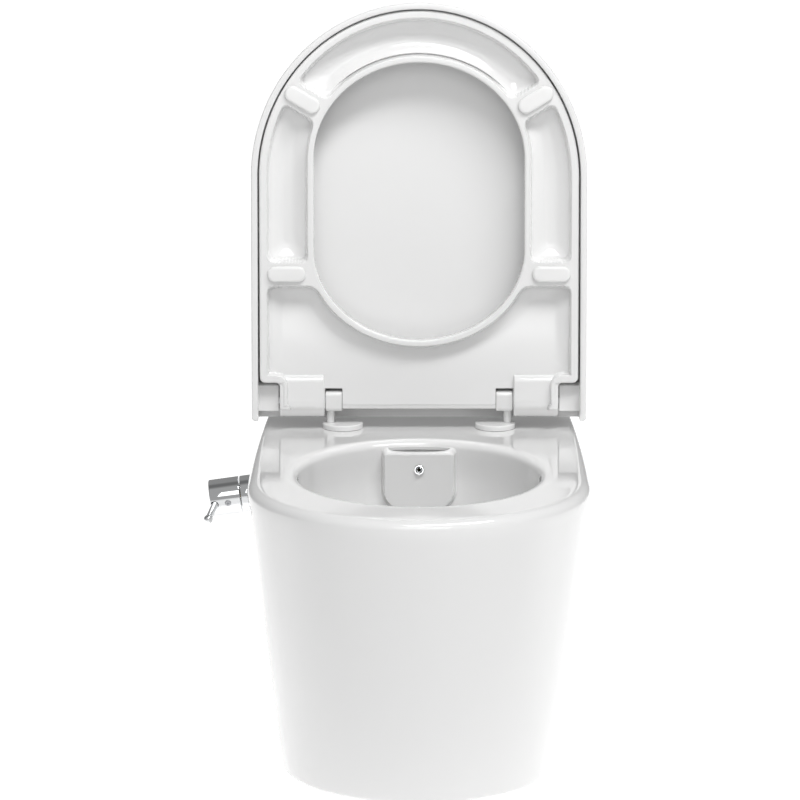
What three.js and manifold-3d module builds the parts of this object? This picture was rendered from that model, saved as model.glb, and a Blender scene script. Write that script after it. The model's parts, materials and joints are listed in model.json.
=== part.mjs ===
// Wall-hung bidet toilet: a rimless ceramic bowl with a nozzle pod at the back of the basin, a side-mounted
// mixing valve that feeds the nozzle, and a soft-close seat and wrap-over lid on two hinge posts.
// Millimetres. +Z is up, the front faces -Y and the wall is the plane y = 0. The origin lies on the wall,
// midway between the two fixing studs. The model stands with seat and lid raised.
import * as THREE from 'three';
import { mergeVertices } from 'three/addons/utils/BufferGeometryUtils.js';
import Module from 'manifold-3d';

const wasm = await Module();
wasm.setup();

// ---------- driving dimensions ----------
const GAP = 0.3; // clearance between neighbouring solids

// ceramic bowl
const RIM_Z = 80; // top of the deck above the fixing studs
const BOWL_HEIGHT = 314;
const RIM = { halfWidth: 177, depth: 174, centreY: -338 }; // front half-ellipse at the top edge
const BASE = { halfWidth: 143, depth: 138, centreY: -305 }; // the same at the foot
const SIDE_NARROWING = 9.5; // how much each side draws in from the widest place to the wall
const SKIRT_WALL = 12;
const DECK_THICKNESS = 16;
const TOP_ROUND = 10;
const FOOT_ROUND = 6;
const STRAIGHT_BAND = 0.03; // share of the height below the edge where the skirt is still upright

// basin
const BASIN = { halfWidth: 126, halfLength: 140, centreY: -299 }; // narrowest part of the lip
const LIP_WIDTH = 15;
const LIP_DROP = 11;
const BASIN_WALL = 10;
const POD = { halfWidth: 39, topZ: 72.5, bottomZ: 7, frontY: -180, topRound: 4, bottomRound: 22, shield: 8 };
const FLUSH_SLOT = { halfWidth: 46, bottomZ: 61, topZ: 69, backY: -110, ductWall: 6 };
const SLOT_MOUTH = { halfWidth: 36, frontY: POD.frontY + POD.shield, openY: -161, endY: -150 };
const BACK_PLATE = { halfWidth: 70, thickness: 14, bottomZ: -165, topZ: 75 };

// connections in the wall face
const STUD_X = 90;
const INLET = { z: 35, radius: 27.5 };
const OUTLET = { z: -100, radius: 45, spigotRadius: 51, depth: 45, wall: 6 };
const TRAP_RADIUS = 27;
const TRAP_WALL = 8;

// concealed wall fixing
const FIXING_Y = -28;
const BOSS = { inner: 126, outer: 158, depth: 56, halfHeight: 30 };
const ACCESS = { radius: 11, floor: 141, screwRadius: 5, screwFrom: 120, seatRadius: 14, seatFloor: 157 };
const OUTSIDE = 190; // beyond any side face, where a bore starts

// nozzle
const NOZZLE_Z = 52.5;
const NOZZLE_TILT = THREE.MathUtils.degToRad(20); // the jet points forwards and up
const NOZZLE_BORE = 4.6;
const NOZZLE_COLLAR = 5.3;
const COLLAR_DEPTH = 1.5;
const NOZZLE_SEAT = 34; // where the pod's back is faced for the nut, along the nozzle's axis
const NOZZLE_SEAT_RADIUS = 13;

// mixing valve on the left side
const MIXER = { x: -171, y: -190, z: 31.3, tilt: THREE.MathUtils.degToRad(8), radius: 19.7 };
const MIXER_BORE = 13;
const MIXER_SEAT = { grow: 1, depth: 2 }; // flat spot faced in the skirt for the sleeve
const MIXER_ROOM = { radius: 20, from: -60, to: -14 }; // inside face squared to the valve
const SLEEVE_END = 17.6; // split line between sleeve and handle, along the valve's axis
const HANDLE_LENGTH = 32.5;
const LEVER = { fromEnd: 8, radius: 4, length: 40, ball: 4.8 };

// seat, lid and their hinge
const AXIS_Y = -96;
const AXIS_Z = RIM_Z + 30.5;
const OPEN = THREE.MathUtils.degToRad(97); // both lean 7 degrees back when raised
const LID = { halfWidth: 180, front: 427.8, rear: -20.5, arc: 186, wall: 7, top: 23.5, inner: 18.5, skirt: -29 };
const SEAT = { halfWidth: 171.3, front: 419.3, arc: 177.5, top: 5, ceiling: -5, under: -25.5, outerLip: 8 };
const PLATE_BEVEL = 1.5;
const HOLE = { halfWidth: 113, rear: 66.5, rearArc: 98, frontArc: 103, front: 364, innerLip: 6 };
const REAR_WEB = { end: -9, underside: -12, halfWidth: 150, shoulder: 20.5, front: 75, topFront: 40 };
const POST = { inner: 83, outer: 101, half: 11, round: 6, stemX: 95.5, stemRadius: 4.5 };
const POST_ROOM = { beside: 1, ahead: 2.6 }; // air round the post in the seat
const DISC = { x: 82.5, radius: 22, height: 6, bevel: 1.2 };
const BOLT_X = 77.5;
const BOLT_HOLE = 7;
const BOLT = { radius: 4, foot: 34, headRadius: 8.2, headFrom: 0.6, headTo: 3.7, bore: 4.3 };
const HEAD_ROOM = { radius: 8.6, height: 4 };
const PIN = { radius: 5, from: 87.3, to: 169 };
const SEAT_KNUCKLE = { from: 102, to: 150, radius: 18, cavity: 9.3 };
const LID_KNUCKLE = { from: 153, radius: 11, cavity: 8.3, cavityEnd: 170, ahead: 18, underside: -8, inset: 3 };
const ARC_STEPS = 16; // chords in the front arc of seat and lid
const HOLE_STEPS = 12;
const BUFFER = { x: 126, u: 330, tip: 9, root: 10 }; // rubber stops inside the lid
const BUMPERS = [
  { name: 'rear_right', x: 142, u: 137.8, turn: 0 },
  { name: 'rear_left', x: -142, u: 137.8, turn: 0 },
  { name: 'front_right', x: 124.5, u: 324.4, turn: 31 },
  { name: 'front_left', x: -124.5, u: 324.4, turn: -31 },
];

// ---------- materials ----------
const CERAMIC = { color: 0xf2f2f0, roughness: 0.08, metalness: 0 };
const DUROPLAST = { color: 0xf4f4f3, roughness: 0.12, metalness: 0 };
const CHROME = { color: 0xd5d7da, roughness: 0.05, metalness: 1 };
const BRASS = { color: 0xb8964f, roughness: 0.35, metalness: 1 };
const STEEL = { color: 0xa9adb2, roughness: 0.3, metalness: 1 };
const WHITE_PLASTIC = { color: 0xe9e9e7, roughness: 0.35, metalness: 0 };
const GREY_PLASTIC = { color: 0x77797c, roughness: 0.5, metalness: 0 };
const RUBBER = { color: 0x2a2a2b, roughness: 0.85, metalness: 0 };
const SOFT_WHITE = { color: 0xe4e4e1, roughness: 0.55, metalness: 0 };

// ---------- solid helpers ----------
function solid(geometry) {
  geometry.deleteAttribute('normal');
  geometry.deleteAttribute('uv');
  const welded = mergeVertices(geometry, 1e-4);
  const vertProperties = new Float32Array(welded.attributes.position.array);
  const triVerts = new Uint32Array(welded.index.array);
  return new wasm.Manifold(new wasm.Mesh({ numProp: 3, vertProperties, triVerts }));
}

function join(first, ...others) {
  return others.reduce((whole, piece) => whole.add(piece), first);
}

function cut(first, ...tools) {
  return tools.reduce((rest, tool) => rest.subtract(tool), first);
}

function toGeometry(body) {
  const { vertProperties, triVerts } = body.getMesh();
  const geometry = new THREE.BufferGeometry();
  geometry.setAttribute('position', new THREE.BufferAttribute(vertProperties, 3));
  geometry.setIndex(new THREE.BufferAttribute(triVerts, 1));
  geometry.computeVertexNormals();
  return geometry;
}

function addPiece(parent, name, body, material) {
  const mesh = new THREE.Mesh(toGeometry(body), new THREE.MeshStandardMaterial(material));
  mesh.name = name;
  parent.add(mesh);
  return mesh;
}

function box(x0, x1, y0, y1, z0, z1) {
  const geometry = new THREE.BoxGeometry(x1 - x0, y1 - y0, z1 - z0);
  return solid(geometry.translate((x0 + x1) / 2, (y0 + y1) / 2, (z0 + z1) / 2));
}

// Cylinders along each axis, from a to b, optionally tapering to radiusB.
function rodX(radius, a, b, y = 0, z = 0, sides = 24, radiusB = radius) {
  const geometry = new THREE.CylinderGeometry(radiusB, radius, b - a, sides);
  return solid(geometry.rotateZ(-Math.PI / 2).translate((a + b) / 2, y, z));
}

function rodY(radius, a, b, x = 0, z = 0, sides = 24, radiusB = radius) {
  return solid(new THREE.CylinderGeometry(radiusB, radius, b - a, sides).translate(x, (a + b) / 2, z));
}

function rodZ(radius, a, b, x = 0, y = 0, sides = 24, radiusB = radius) {
  const geometry = new THREE.CylinderGeometry(radiusB, radius, b - a, sides);
  return solid(geometry.rotateX(Math.PI / 2).translate(x, y, (a + b) / 2));
}

// A body through closed rings of equal point count, each ring counter-clockwise seen from above.
function loft(rings) {
  const around = rings[0].length;
  const floors = rings.length - 1;
  const geometry = new THREE.CylinderGeometry(1, 1, floors, around, floors);
  geometry.deleteAttribute('normal');
  geometry.deleteAttribute('uv');
  const welded = mergeVertices(geometry, 1e-4);
  const position = welded.attributes.position;
  const point = new THREE.Vector3();
  for (let i = 0; i < position.count; i += 1) {
    point.fromBufferAttribute(position, i);
    const ring = rings[Math.round(point.y + floors / 2)];
    const turn = Math.round((Math.atan2(point.x, point.z) / (2 * Math.PI)) * around);
    const onRing = Math.hypot(point.x, point.z) > 0.5;
    const target = onRing ? ring[(turn + around) % around] : middle(ring);
    position.setXYZ(i, target.x, target.y, target.z);
  }
  return solid(welded);
}

function middle(ring) {
  const sum = ring.reduce((total, point) => total.add(point), new THREE.Vector3());
  return sum.divideScalar(ring.length);
}

function ellipseRing(halfWidth, halfLength, centreY, z, count = 34) {
  return Array.from({ length: count }, (_, i) => {
    const angle = (2 * Math.PI * i) / count;
    return new THREE.Vector3(halfWidth * Math.cos(angle), centreY + halfLength * Math.sin(angle), z);
  });
}

function tube(points, radius, steps, sides) {
  const section = new THREE.Shape();
  section.absarc(0, 0, radius, 0, 2 * Math.PI, false);
  const path = new THREE.CatmullRomCurve3(points.map((p) => new THREE.Vector3(...p)));
  const options = { steps, extrudePath: path, curveSegments: sides };
  return solid(new THREE.ExtrudeGeometry(section, options));
}

// ---------- ceramic bowl ----------
// Outline of the skirt at height z, pulled in by inset and closed by a straight line at backY.
function skirtRing(z, inset, backY, zOnRing = z) {
  const drop = (RIM_Z - z) / BOWL_HEIGHT;
  const share = drop - STRAIGHT_BAND * (1 - Math.exp(-drop / STRAIGHT_BAND));
  const halfWidth = THREE.MathUtils.lerp(RIM.halfWidth, BASE.halfWidth, share) - inset;
  const depth = THREE.MathUtils.lerp(RIM.depth, BASE.depth, share) - inset;
  const centreY = THREE.MathUtils.lerp(RIM.centreY, BASE.centreY, share);
  const arcSteps = 26;
  const sideSteps = 3;
  const ring = [];
  for (let i = 0; i <= arcSteps; i += 1) {
    const angle = Math.PI + (Math.PI * i) / arcSteps;
    const y = centreY + depth * Math.sin(angle);
    ring.push(new THREE.Vector3(halfWidth * Math.cos(angle), y, zOnRing));
  }
  const right = [];
  for (let i = 1; i <= sideSteps; i += 1) {
    const y = THREE.MathUtils.lerp(centreY, backY, i / sideSteps);
    const x = halfWidth - SIDE_NARROWING * ((y - centreY) / centreY) ** 2;
    right.push(new THREE.Vector3(x, y, zOnRing));
  }
  const left = right.map((p) => new THREE.Vector3(-p.x, p.y, p.z)).reverse();
  return [...ring, ...right, ...left];
}

function skirtBody() {
  const foot = RIM_Z - BOWL_HEIGHT;
  const rings = [];
  for (const angle of [0, 45, 90]) {
    const a = THREE.MathUtils.degToRad(angle);
    rings.push(skirtRing(foot + FOOT_ROUND * (1 - Math.cos(a)), FOOT_ROUND * (1 - Math.sin(a)), 0));
  }
  for (const z of [-150, -60, 10, 45]) rings.push(skirtRing(z, 0, 0));
  for (const angle of [0, 30, 60, 90]) {
    const a = THREE.MathUtils.degToRad(angle);
    const z = RIM_Z - TOP_ROUND * (1 - Math.sin(a));
    rings.push(skirtRing(z, TOP_ROUND * (1 - Math.cos(a)), 0));
  }
  return loft(rings);
}

function skirtHollow() {
  const floor = RIM_Z - BOWL_HEIGHT + SKIRT_WALL;
  const levels = [floor, -100, 20, RIM_Z - DECK_THICKNESS];
  return loft(levels.map((z) => skirtRing(z, SKIRT_WALL, 5)));
}

// Half-axes of the basin below its lip: [z, half width, half length, centre y].
const BASIN_LEVELS = [
  [-150, 30, 36, -283],
  [-135, 42, 49, -285],
  [-100, 64, 72, -294],
  [-55, 92, 103, -301],
  [-5, 115, 128, -300],
  [35, 125, 139, -299],
  [RIM_Z - LIP_DROP, BASIN.halfWidth, BASIN.halfLength, BASIN.centreY],
];

function basinBody(wall) {
  const rings = BASIN_LEVELS.map(([z, a, b, y]) => ellipseRing(a + wall, b + wall, y, z));
  const bottom = BASIN_LEVELS[0];
  if (wall > 0) {
    rings[0] = ellipseRing(bottom[1] + wall, bottom[2] + wall, bottom[3], bottom[0] - wall);
    return loft(rings);
  }
  for (const angle of [30, 60, 90]) {
    const a = THREE.MathUtils.degToRad(angle);
    const out = LIP_WIDTH * (1 - Math.cos(a));
    const z = RIM_Z - LIP_DROP * (1 - Math.sin(a));
    rings.push(ellipseRing(BASIN.halfWidth + out, BASIN.halfLength + out, BASIN.centreY, z));
  }
  rings.push(ellipseRing(BASIN.halfWidth + LIP_WIDTH, BASIN.halfLength + LIP_WIDTH, BASIN.centreY, RIM_Z + 5));
  return loft(rings);
}

const TRAP_PATH = [
  [0, -300, -122],
  [0, -245, -121],
  [0, -205, -98],
  [0, -170, -62],
  [0, -138, -50],
  [0, -106, -62],
  [0, -80, -90],
  [0, -50, -100],
  [0, -30, -100],
];

// The water way from the wall inlet to the slot behind the nozzle pod, grown by wall all round.
function flushDuct(wall) {
  const slotZ = (FLUSH_SLOT.bottomZ + FLUSH_SLOT.topZ) / 2;
  const slotHalf = (FLUSH_SLOT.topZ - FLUSH_SLOT.bottomZ) / 2;
  const end = wall > 0 ? -150 : POD.frontY + POD.shield;
  const start = wall > 0 ? 0 : 5;
  const stations = [
    [end, FLUSH_SLOT.halfWidth, slotHalf, slotZ],
    [FLUSH_SLOT.backY, FLUSH_SLOT.halfWidth, slotHalf, slotZ],
    [-45, INLET.radius, INLET.radius, INLET.z],
    [start, INLET.radius, INLET.radius, INLET.z],
  ];
  const count = 16;
  const rings = stations.map(([y, halfWidth, halfHeight, z]) => Array.from({ length: count }, (_, i) => {
    const angle = (2 * Math.PI * i) / count;
    const power = halfWidth > halfHeight ? 0.35 : 1;
    const c = Math.sign(Math.cos(angle)) * Math.abs(Math.cos(angle)) ** power;
    const s = Math.sign(Math.sin(angle)) * Math.abs(Math.sin(angle)) ** power;
    return new THREE.Vector3((halfWidth + wall) * c, y, z - (halfHeight + wall) * s);
  }));
  return loft(rings);
}

function podBody() {
  const { halfWidth: w, topZ, bottomZ, topRound: r, bottomRound: q } = POD;
  const face = new THREE.Shape();
  face.moveTo(-w + q, bottomZ);
  face.lineTo(w - q, bottomZ);
  face.absarc(w - q, bottomZ + q, q, -Math.PI / 2, 0, false);
  face.absarc(w - r, topZ - r, r, 0, Math.PI / 2, false);
  face.absarc(-w + r, topZ - r, r, Math.PI / 2, Math.PI, false);
  face.absarc(-w + q, bottomZ + q, q, Math.PI, 1.5 * Math.PI, false);
  const options = { depth: 45, bevelEnabled: false, curveSegments: 5 };
  const geometry = new THREE.ExtrudeGeometry(face, options);
  return solid(geometry.rotateX(Math.PI / 2).translate(0, POD.frontY + 45, 0));
}

function nozzleLine(from, to, radius, sides = 12) {
  const geometry = new THREE.CylinderGeometry(radius, radius, to - from, sides);
  geometry.translate(0, (from + to) / 2, 0).rotateX(-NOZZLE_TILT);
  return solid(geometry.translate(0, POD.frontY, NOZZLE_Z));
}

function bowlCeramic() {
  const trapOuter = tube(TRAP_PATH, TRAP_RADIUS + TRAP_WALL, 13, 5);
  const { halfWidth, thickness, bottomZ, topZ } = BACK_PLATE;
  const plate = box(-halfWidth, halfWidth, -thickness, 0, bottomZ, topZ);
  const spigot = rodY(OUTLET.spigotRadius, -OUTLET.depth - OUTLET.wall, 0, 0, OUTLET.z, 28);
  let body = cut(skirtBody(), skirtHollow());
  body = join(body, basinBody(BASIN_WALL), trapOuter, plate, spigot, flushDuct(FLUSH_SLOT.ductWall));
  for (const side of [-1, 1]) body = join(body, fixingBoss(side));
  const basin = cut(basinBody(0), podBody());
  body = cut(body, basin);
  const { halfWidth: w, frontY, openY, endY } = SLOT_MOUTH;
  const slotTop = box(-w, w, frontY, endY, FLUSH_SLOT.bottomZ, RIM_Z - LIP_DROP + 0.5);
  const slotMouth = box(-w, w, frontY, openY, FLUSH_SLOT.bottomZ, RIM_Z + 2);
  body = cut(body, flushDuct(0), slotTop, slotMouth);
  body = cut(body, tube(TRAP_PATH, TRAP_RADIUS, 13, 5));
  body = cut(body, rodY(OUTLET.radius, -OUTLET.depth, 5, 0, OUTLET.z, 28));
  body = cut(body, nozzleLine(-20, 60, NOZZLE_BORE), nozzleLine(-20, COLLAR_DEPTH, NOZZLE_COLLAR + GAP, 20));
  body = cut(body, nozzleLine(NOZZLE_SEAT, 60, NOZZLE_SEAT_RADIUS, 24), ...mixerOpening());
  for (const side of [-1, 1]) {
    const bore = rodX(ACCESS.radius, ACCESS.floor, OUTSIDE, FIXING_Y, 0, 24);
    const screwHole = rodX(ACCESS.screwRadius, ACCESS.screwFrom, ACCESS.floor + 1, FIXING_Y, 0, 16);
    const plugSeat = rodX(ACCESS.seatRadius, ACCESS.seatFloor, OUTSIDE, FIXING_Y, 0, 28);
    body = cut(body, ...[bore, screwHole, plugSeat].map((tool) => mirrorTo(side, tool)));
    body = cut(body, rodZ(BOLT_HOLE, RIM_Z - 2 * DECK_THICKNESS, RIM_Z + 5, side * BOLT_X, AXIS_Y, 20));
  }
  return body;
}

// Mirrors a solid made for the right side onto the left when side is -1.
function mirrorTo(side, body) {
  return side > 0 ? body : body.mirror([1, 0, 0]);
}

function fixingBoss(side) {
  const block = box(BOSS.inner, BOSS.outer, -BOSS.depth, 0, -BOSS.halfHeight, BOSS.halfHeight);
  return mirrorTo(side, block);
}

function mixerOpening() {
  const through = rodX(MIXER_BORE, -40, 30);
  const seat = rodX(MIXER.radius + MIXER_SEAT.grow, -MIXER_SEAT.depth, 30, 0, 0, 32);
  const inside = rodX(MIXER_ROOM.radius, MIXER_ROOM.from, MIXER_ROOM.to, 0, 0, 24);
  const frame = mixerFrame();
  frame.updateMatrixWorld();
  return [through, seat, inside].map((tool) => tool.transform(frame.matrixWorld.elements));
}

// Frame of the mixing valve: local +X points outwards along its axis, local +Z points down.
function mixerFrame() {
  const group = new THREE.Group();
  group.position.set(MIXER.x, MIXER.y, MIXER.z);
  group.rotation.y = Math.PI - MIXER.tilt;
  return group;
}

// ---------- wall fixing ----------
const BRACKET = { inner: 74, outer: 124, depth: 44, halfHeight: 20, studHole: 6.6 };
const SCREW = { radius: 4.2, tip: 106, headRadius: 8, headEnd: 148, socketRadius: 3.2, socketDepth: 4 };
const PLUG = { foot: 149, top: 160, wall: 2 };

function wallBracket(side) {
  const { inner, outer, depth, halfHeight, studHole } = BRACKET;
  const block = box(inner, outer, -depth, -GAP, -halfHeight, halfHeight);
  const stud = rodY(studHole, -depth - 5, 5, STUD_X, 0, 20);
  const thread = rodX(SCREW.radius + GAP, SCREW.tip - 2, outer + 5, FIXING_Y, 0, 16);
  return mirrorTo(side, cut(block, stud, thread));
}

function bracketScrew(side) {
  const { radius, tip, headRadius, headEnd, socketRadius, socketDepth } = SCREW;
  const shank = rodX(radius, tip, ACCESS.floor + 2, FIXING_Y, 0, 16);
  const head = rodX(headRadius, ACCESS.floor + GAP, headEnd, FIXING_Y, 0, 20);
  const socket = rodX(socketRadius, headEnd - socketDepth, headEnd + 2, FIXING_Y, 0, 6);
  return mirrorTo(side, cut(join(shank, head), socket));
}

function sidePlug(side) {
  const { foot, top, wall } = PLUG;
  const cap = rodX(ACCESS.seatRadius - GAP, ACCESS.seatFloor + GAP, top, FIXING_Y, 0, 28);
  const sleeve = rodX(ACCESS.radius - GAP, foot, ACCESS.seatFloor + 1.5, FIXING_Y, 0, 24);
  const hollow = rodX(ACCESS.radius - GAP - wall, foot - 1, top - 4, FIXING_Y, 0, 20);
  return mirrorTo(side, cut(join(cap, sleeve), hollow));
}

// ---------- nozzle and its feed ----------
const SOCKET_RADIUS = 3.2;
const WATER_BORE = 1.6;

function nozzleBody() {
  const collar = nozzleLine(-1.4, 1.2, NOZZLE_COLLAR, 20);
  const barrel = nozzleLine(-2, NOZZLE_SEAT + 22, NOZZLE_BORE - GAP);
  const water = nozzleLine(2, NOZZLE_SEAT + 30, WATER_BORE, 12);
  const socket = solid(new THREE.SphereGeometry(SOCKET_RADIUS + GAP, 14, 8).translate(0, POD.frontY, NOZZLE_Z));
  const mouth = nozzleLine(-6, 0, SOCKET_RADIUS + GAP, 14);
  return cut(join(collar, barrel), water, socket, mouth);
}

function nozzleTip() {
  const ball = new THREE.SphereGeometry(SOCKET_RADIUS, 16, 10).translate(0, POD.frontY, NOZZLE_Z);
  return cut(solid(ball), nozzleLine(-9, 9, 1.1, 12));
}

function ringOnNozzle(from, to, outer, inner, sides = 20) {
  return cut(nozzleLine(from, to, outer, sides), nozzleLine(from - 1, to + 1, inner));
}

// Quarter-turn elbow on the nozzle's tail: its outlet points to the left, towards the valve.
const ELBOW = { along: NOZZLE_SEAT + 26, half: 8, reach: 20 };

function elbowCentre() {
  const y = POD.frontY + ELBOW.along * Math.cos(NOZZLE_TILT);
  return { y, z: NOZZLE_Z - ELBOW.along * Math.sin(NOZZLE_TILT) };
}

function nozzleElbow() {
  const { y, z } = elbowCentre();
  const block = nozzleLine(ELBOW.along - ELBOW.half - 4, ELBOW.along + ELBOW.half, ELBOW.half + 1);
  const arm = rodX(5.5, -ELBOW.reach, 0, y, z, 20);
  const armBore = rodX(3.4, -ELBOW.reach - 2, 0, y, z, 12);
  const socket = nozzleLine(ELBOW.along - 20, ELBOW.along - 3, NOZZLE_BORE + 0.1);
  const passage = nozzleLine(ELBOW.along - 20, ELBOW.along, 3.4, 12);
  return cut(join(block, arm), armBore, socket, passage);
}

function feedTube() {
  const { y, z } = elbowCentre();
  const out = valvePoint(-38, 14, 0);
  const points = [
    [-ELBOW.reach - GAP, y, z],
    [-ELBOW.reach - 14, y, z],
    [-62, y + 12, z + 1],
    [out.x + 8, y + 16, z + 1],
    [out.x, out.y + 20, out.z],
    [out.x, out.y + GAP, out.z],
  ];
  return tube(points, 3, 20, 4);
}

// ---------- mixing valve ----------
// A point given in the valve's own frame, in the frame of the whole object.
function valvePoint(along, back, down) {
  const frame = mixerFrame();
  frame.updateMatrixWorld();
  return new THREE.Vector3(along, back, down).applyMatrix4(frame.matrixWorld);
}

function ringOnValve(from, to, outer, inner, sides = 28) {
  return cut(rodX(outer, from, to, 0, 0, sides), rodX(inner, from - 1, to + 1, 0, 0, 20));
}

function mixerBody() {
  const housing = rodX(15.5, -58, -21.5, 0, 0, 28);
  const neck = rodX(MIXER_BORE - 0.5, -24, -1.7, 0, 0, 28);
  const chamber = rodX(10.5, -50, 0, 0, 0, 24);
  const outlet = rodY(5.5, 0, 14, -38, 0, 16);
  const outletBore = rodY(3.2, 0, 16, -38, 0, 12);
  let body = join(housing, neck, outlet);
  const inlets = [-28, -49];
  for (const along of inlets) body = join(body, rodZ(5.5, 0, 24, along, 0, 16));
  body = cut(body, chamber, outletBore);
  for (const along of inlets) body = cut(body, rodZ(3.2, 0, 26, along, 0, 12));
  return body;
}

function mixerSleeve() {
  const shell = rodX(MIXER.radius, -0.2, SLEEVE_END, 0, 0, 32);
  return cut(shell, rodX(12.5, -1, SLEEVE_END + 1, 0, 0, 28));
}

function mixerCartridge() {
  const barrel = rodX(10.1, -49.7, 15, 0, 0, 24);
  const stemBore = rodX(4.3, 2, 20, 0, 0, 16);
  return cut(barrel, stemBore);
}

function mixerStem() {
  return rodX(4, 4, SLEEVE_END + 12, 0, 0, 16);
}

const HANDLE_START = SLEEVE_END + 1;
const HANDLE_END = HANDLE_START + HANDLE_LENGTH;
const LEVER_AT = HANDLE_END - LEVER.fromEnd;

function mixerHandle() {
  const bevel = 1;
  const profile = [
    new THREE.Vector2(0, HANDLE_START),
    new THREE.Vector2(MIXER.radius - bevel, HANDLE_START),
    new THREE.Vector2(MIXER.radius, HANDLE_START + bevel),
    new THREE.Vector2(MIXER.radius, HANDLE_END - bevel),
    new THREE.Vector2(MIXER.radius - bevel, HANDLE_END),
    new THREE.Vector2(0, HANDLE_END),
  ];
  const knob = solid(new THREE.LatheGeometry(profile, 32).rotateZ(-Math.PI / 2));
  const stemBore = rodX(4.3, 0, SLEEVE_END + 13, 0, 0, 16);
  const screwBore = rodY(3.3, -30, -8, LEVER_AT - 11, 3, 16);
  return cut(knob, stemBore, screwBore, leverRod(LEVER.radius + GAP, 10, 30));
}

// A rod from the valve's axis along the lever: forwards, with 10 degrees down and 10 degrees outwards.
function leverRod(radius, from, to) {
  const geometry = new THREE.CylinderGeometry(radius, radius, to - from, 16);
  geometry.translate(0, -(from + to) / 2, 0);
  return solid(leverTurn(geometry));
}

function leverTurn(geometry) {
  const lean = THREE.MathUtils.degToRad(10);
  return geometry.rotateZ(lean).rotateX(-lean).translate(LEVER_AT, 0, 0);
}

function leverPin() {
  const tip = MIXER.radius + LEVER.length - LEVER.ball;
  const ball = leverTurn(new THREE.SphereGeometry(LEVER.ball, 14, 8).translate(0, -tip, 0));
  return join(leverRod(LEVER.radius, 10 + GAP, tip), solid(ball));
}

function gripScrew() {
  const shank = rodY(3, -MIXER.radius - 0.2, -9, LEVER_AT - 11, 3, 16);
  return cut(shank, rodY(1.5, -MIXER.radius - 2, -MIXER.radius + 2, LEVER_AT - 11, 3, 6));
}

// ---------- hinge posts ----------
function hingeDisc(side) {
  const top = RIM_Z + DISC.height;
  const profile = [
    new THREE.Vector2(0, RIM_Z + GAP),
    new THREE.Vector2(DISC.radius, RIM_Z + GAP),
    new THREE.Vector2(DISC.radius, top - DISC.bevel),
    new THREE.Vector2(DISC.radius - DISC.bevel, top),
    new THREE.Vector2(0, top),
  ];
  const lathe = new THREE.LatheGeometry(profile, 28).rotateX(Math.PI / 2);
  const disc = solid(lathe.translate(DISC.x, AXIS_Y, 0));
  const headRoom = rodZ(HEAD_ROOM.radius, RIM_Z - 2, RIM_Z + HEAD_ROOM.height, BOLT_X, AXIS_Y, 24);
  const socket = rodZ(POST.stemRadius + GAP, RIM_Z + 2.5, top + 2, POST.stemX, AXIS_Y, 20);
  return mirrorTo(side, cut(disc, headRoom, socket));
}

function roundedBar(x0, x1, half, round) {
  const face = new THREE.Shape();
  const c = half - round;
  face.absarc(c, c, round, 0, Math.PI / 2, false);
  face.absarc(-c, c, round, Math.PI / 2, Math.PI, false);
  face.absarc(-c, -c, round, Math.PI, 1.5 * Math.PI, false);
  face.absarc(c, -c, round, 1.5 * Math.PI, 2 * Math.PI, false);
  const options = { depth: x1 - x0, bevelEnabled: false, curveSegments: 4 };
  const geometry = new THREE.ExtrudeGeometry(face, options);
  return solid(geometry.rotateY(Math.PI / 2).translate(x0, 0, 0));
}

function hingePost(side) {
  const head = roundedBar(POST.inner, POST.outer, POST.half, POST.round).translate([0, AXIS_Y, AXIS_Z]);
  const stem = rodZ(POST.stemRadius, RIM_Z + 2.8, AXIS_Z - 8, POST.stemX, AXIS_Y, 20);
  const bore = rodX(PIN.radius + GAP, 87, 110, AXIS_Y, AXIS_Z, 24);
  return mirrorTo(side, cut(join(head, stem), bore));
}

function hingePin(side) {
  return mirrorTo(side, rodX(PIN.radius, PIN.from, PIN.to, AXIS_Y, AXIS_Z, 24));
}

function hingeBolt(side) {
  const { radius, foot, headRadius, headFrom, headTo } = BOLT;
  const shank = rodZ(radius, foot, RIM_Z + 1, BOLT_X, AXIS_Y, 16);
  const head = rodZ(headRadius, RIM_Z + headFrom, RIM_Z + headTo, BOLT_X, AXIS_Y, 24);
  return mirrorTo(side, join(shank, head));
}

function ringOnBolt(side, from, to, outer, sides = 20) {
  const outside = rodZ(outer, from, to, BOLT_X, AXIS_Y, sides);
  const inside = rodZ(BOLT.bore, from - 1, to + 1, BOLT_X, AXIS_Y, 16);
  return mirrorTo(side, cut(outside, inside));
}

function hingeWingnut(side) {
  const under = RIM_Z - DECK_THICKNESS;
  const hub = rodZ(7, under - 16, under - 2.3, BOLT_X, AXIS_Y, 20);
  const wings = box(BOLT_X - 2, BOLT_X + 2, AXIS_Y - 14, AXIS_Y + 14, under - 18, under - 6);
  const bore = rodZ(BOLT.bore, under - 30, under, BOLT_X, AXIS_Y, 16);
  return mirrorTo(side, cut(join(hub, wings), bore));
}

// ---------- seat and lid, drawn closed: u runs forwards from the hinge axis, t upwards ----------
function hingedFrame(angle) {
  const group = new THREE.Group();
  group.position.set(0, AXIS_Y, AXIS_Z);
  group.rotation.x = -angle;
  return group;
}

// A flat outline (x, u) made solid between two heights. The outline's y is u, so it is turned to face -Y.
function slab(shape, t0, t1, curveSegments, bevel = 0) {
  const options = {
    depth: t1 - t0 - 2 * bevel,
    bevelEnabled: bevel > 0,
    bevelSize: bevel,
    bevelThickness: bevel,
    bevelOffset: -bevel,
    bevelSegments: 2,
    curveSegments,
  };
  const geometry = new THREE.ExtrudeGeometry(shape, options);
  return solid(geometry.rotateX(Math.PI).translate(0, 0, t1 - bevel));
}

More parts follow.
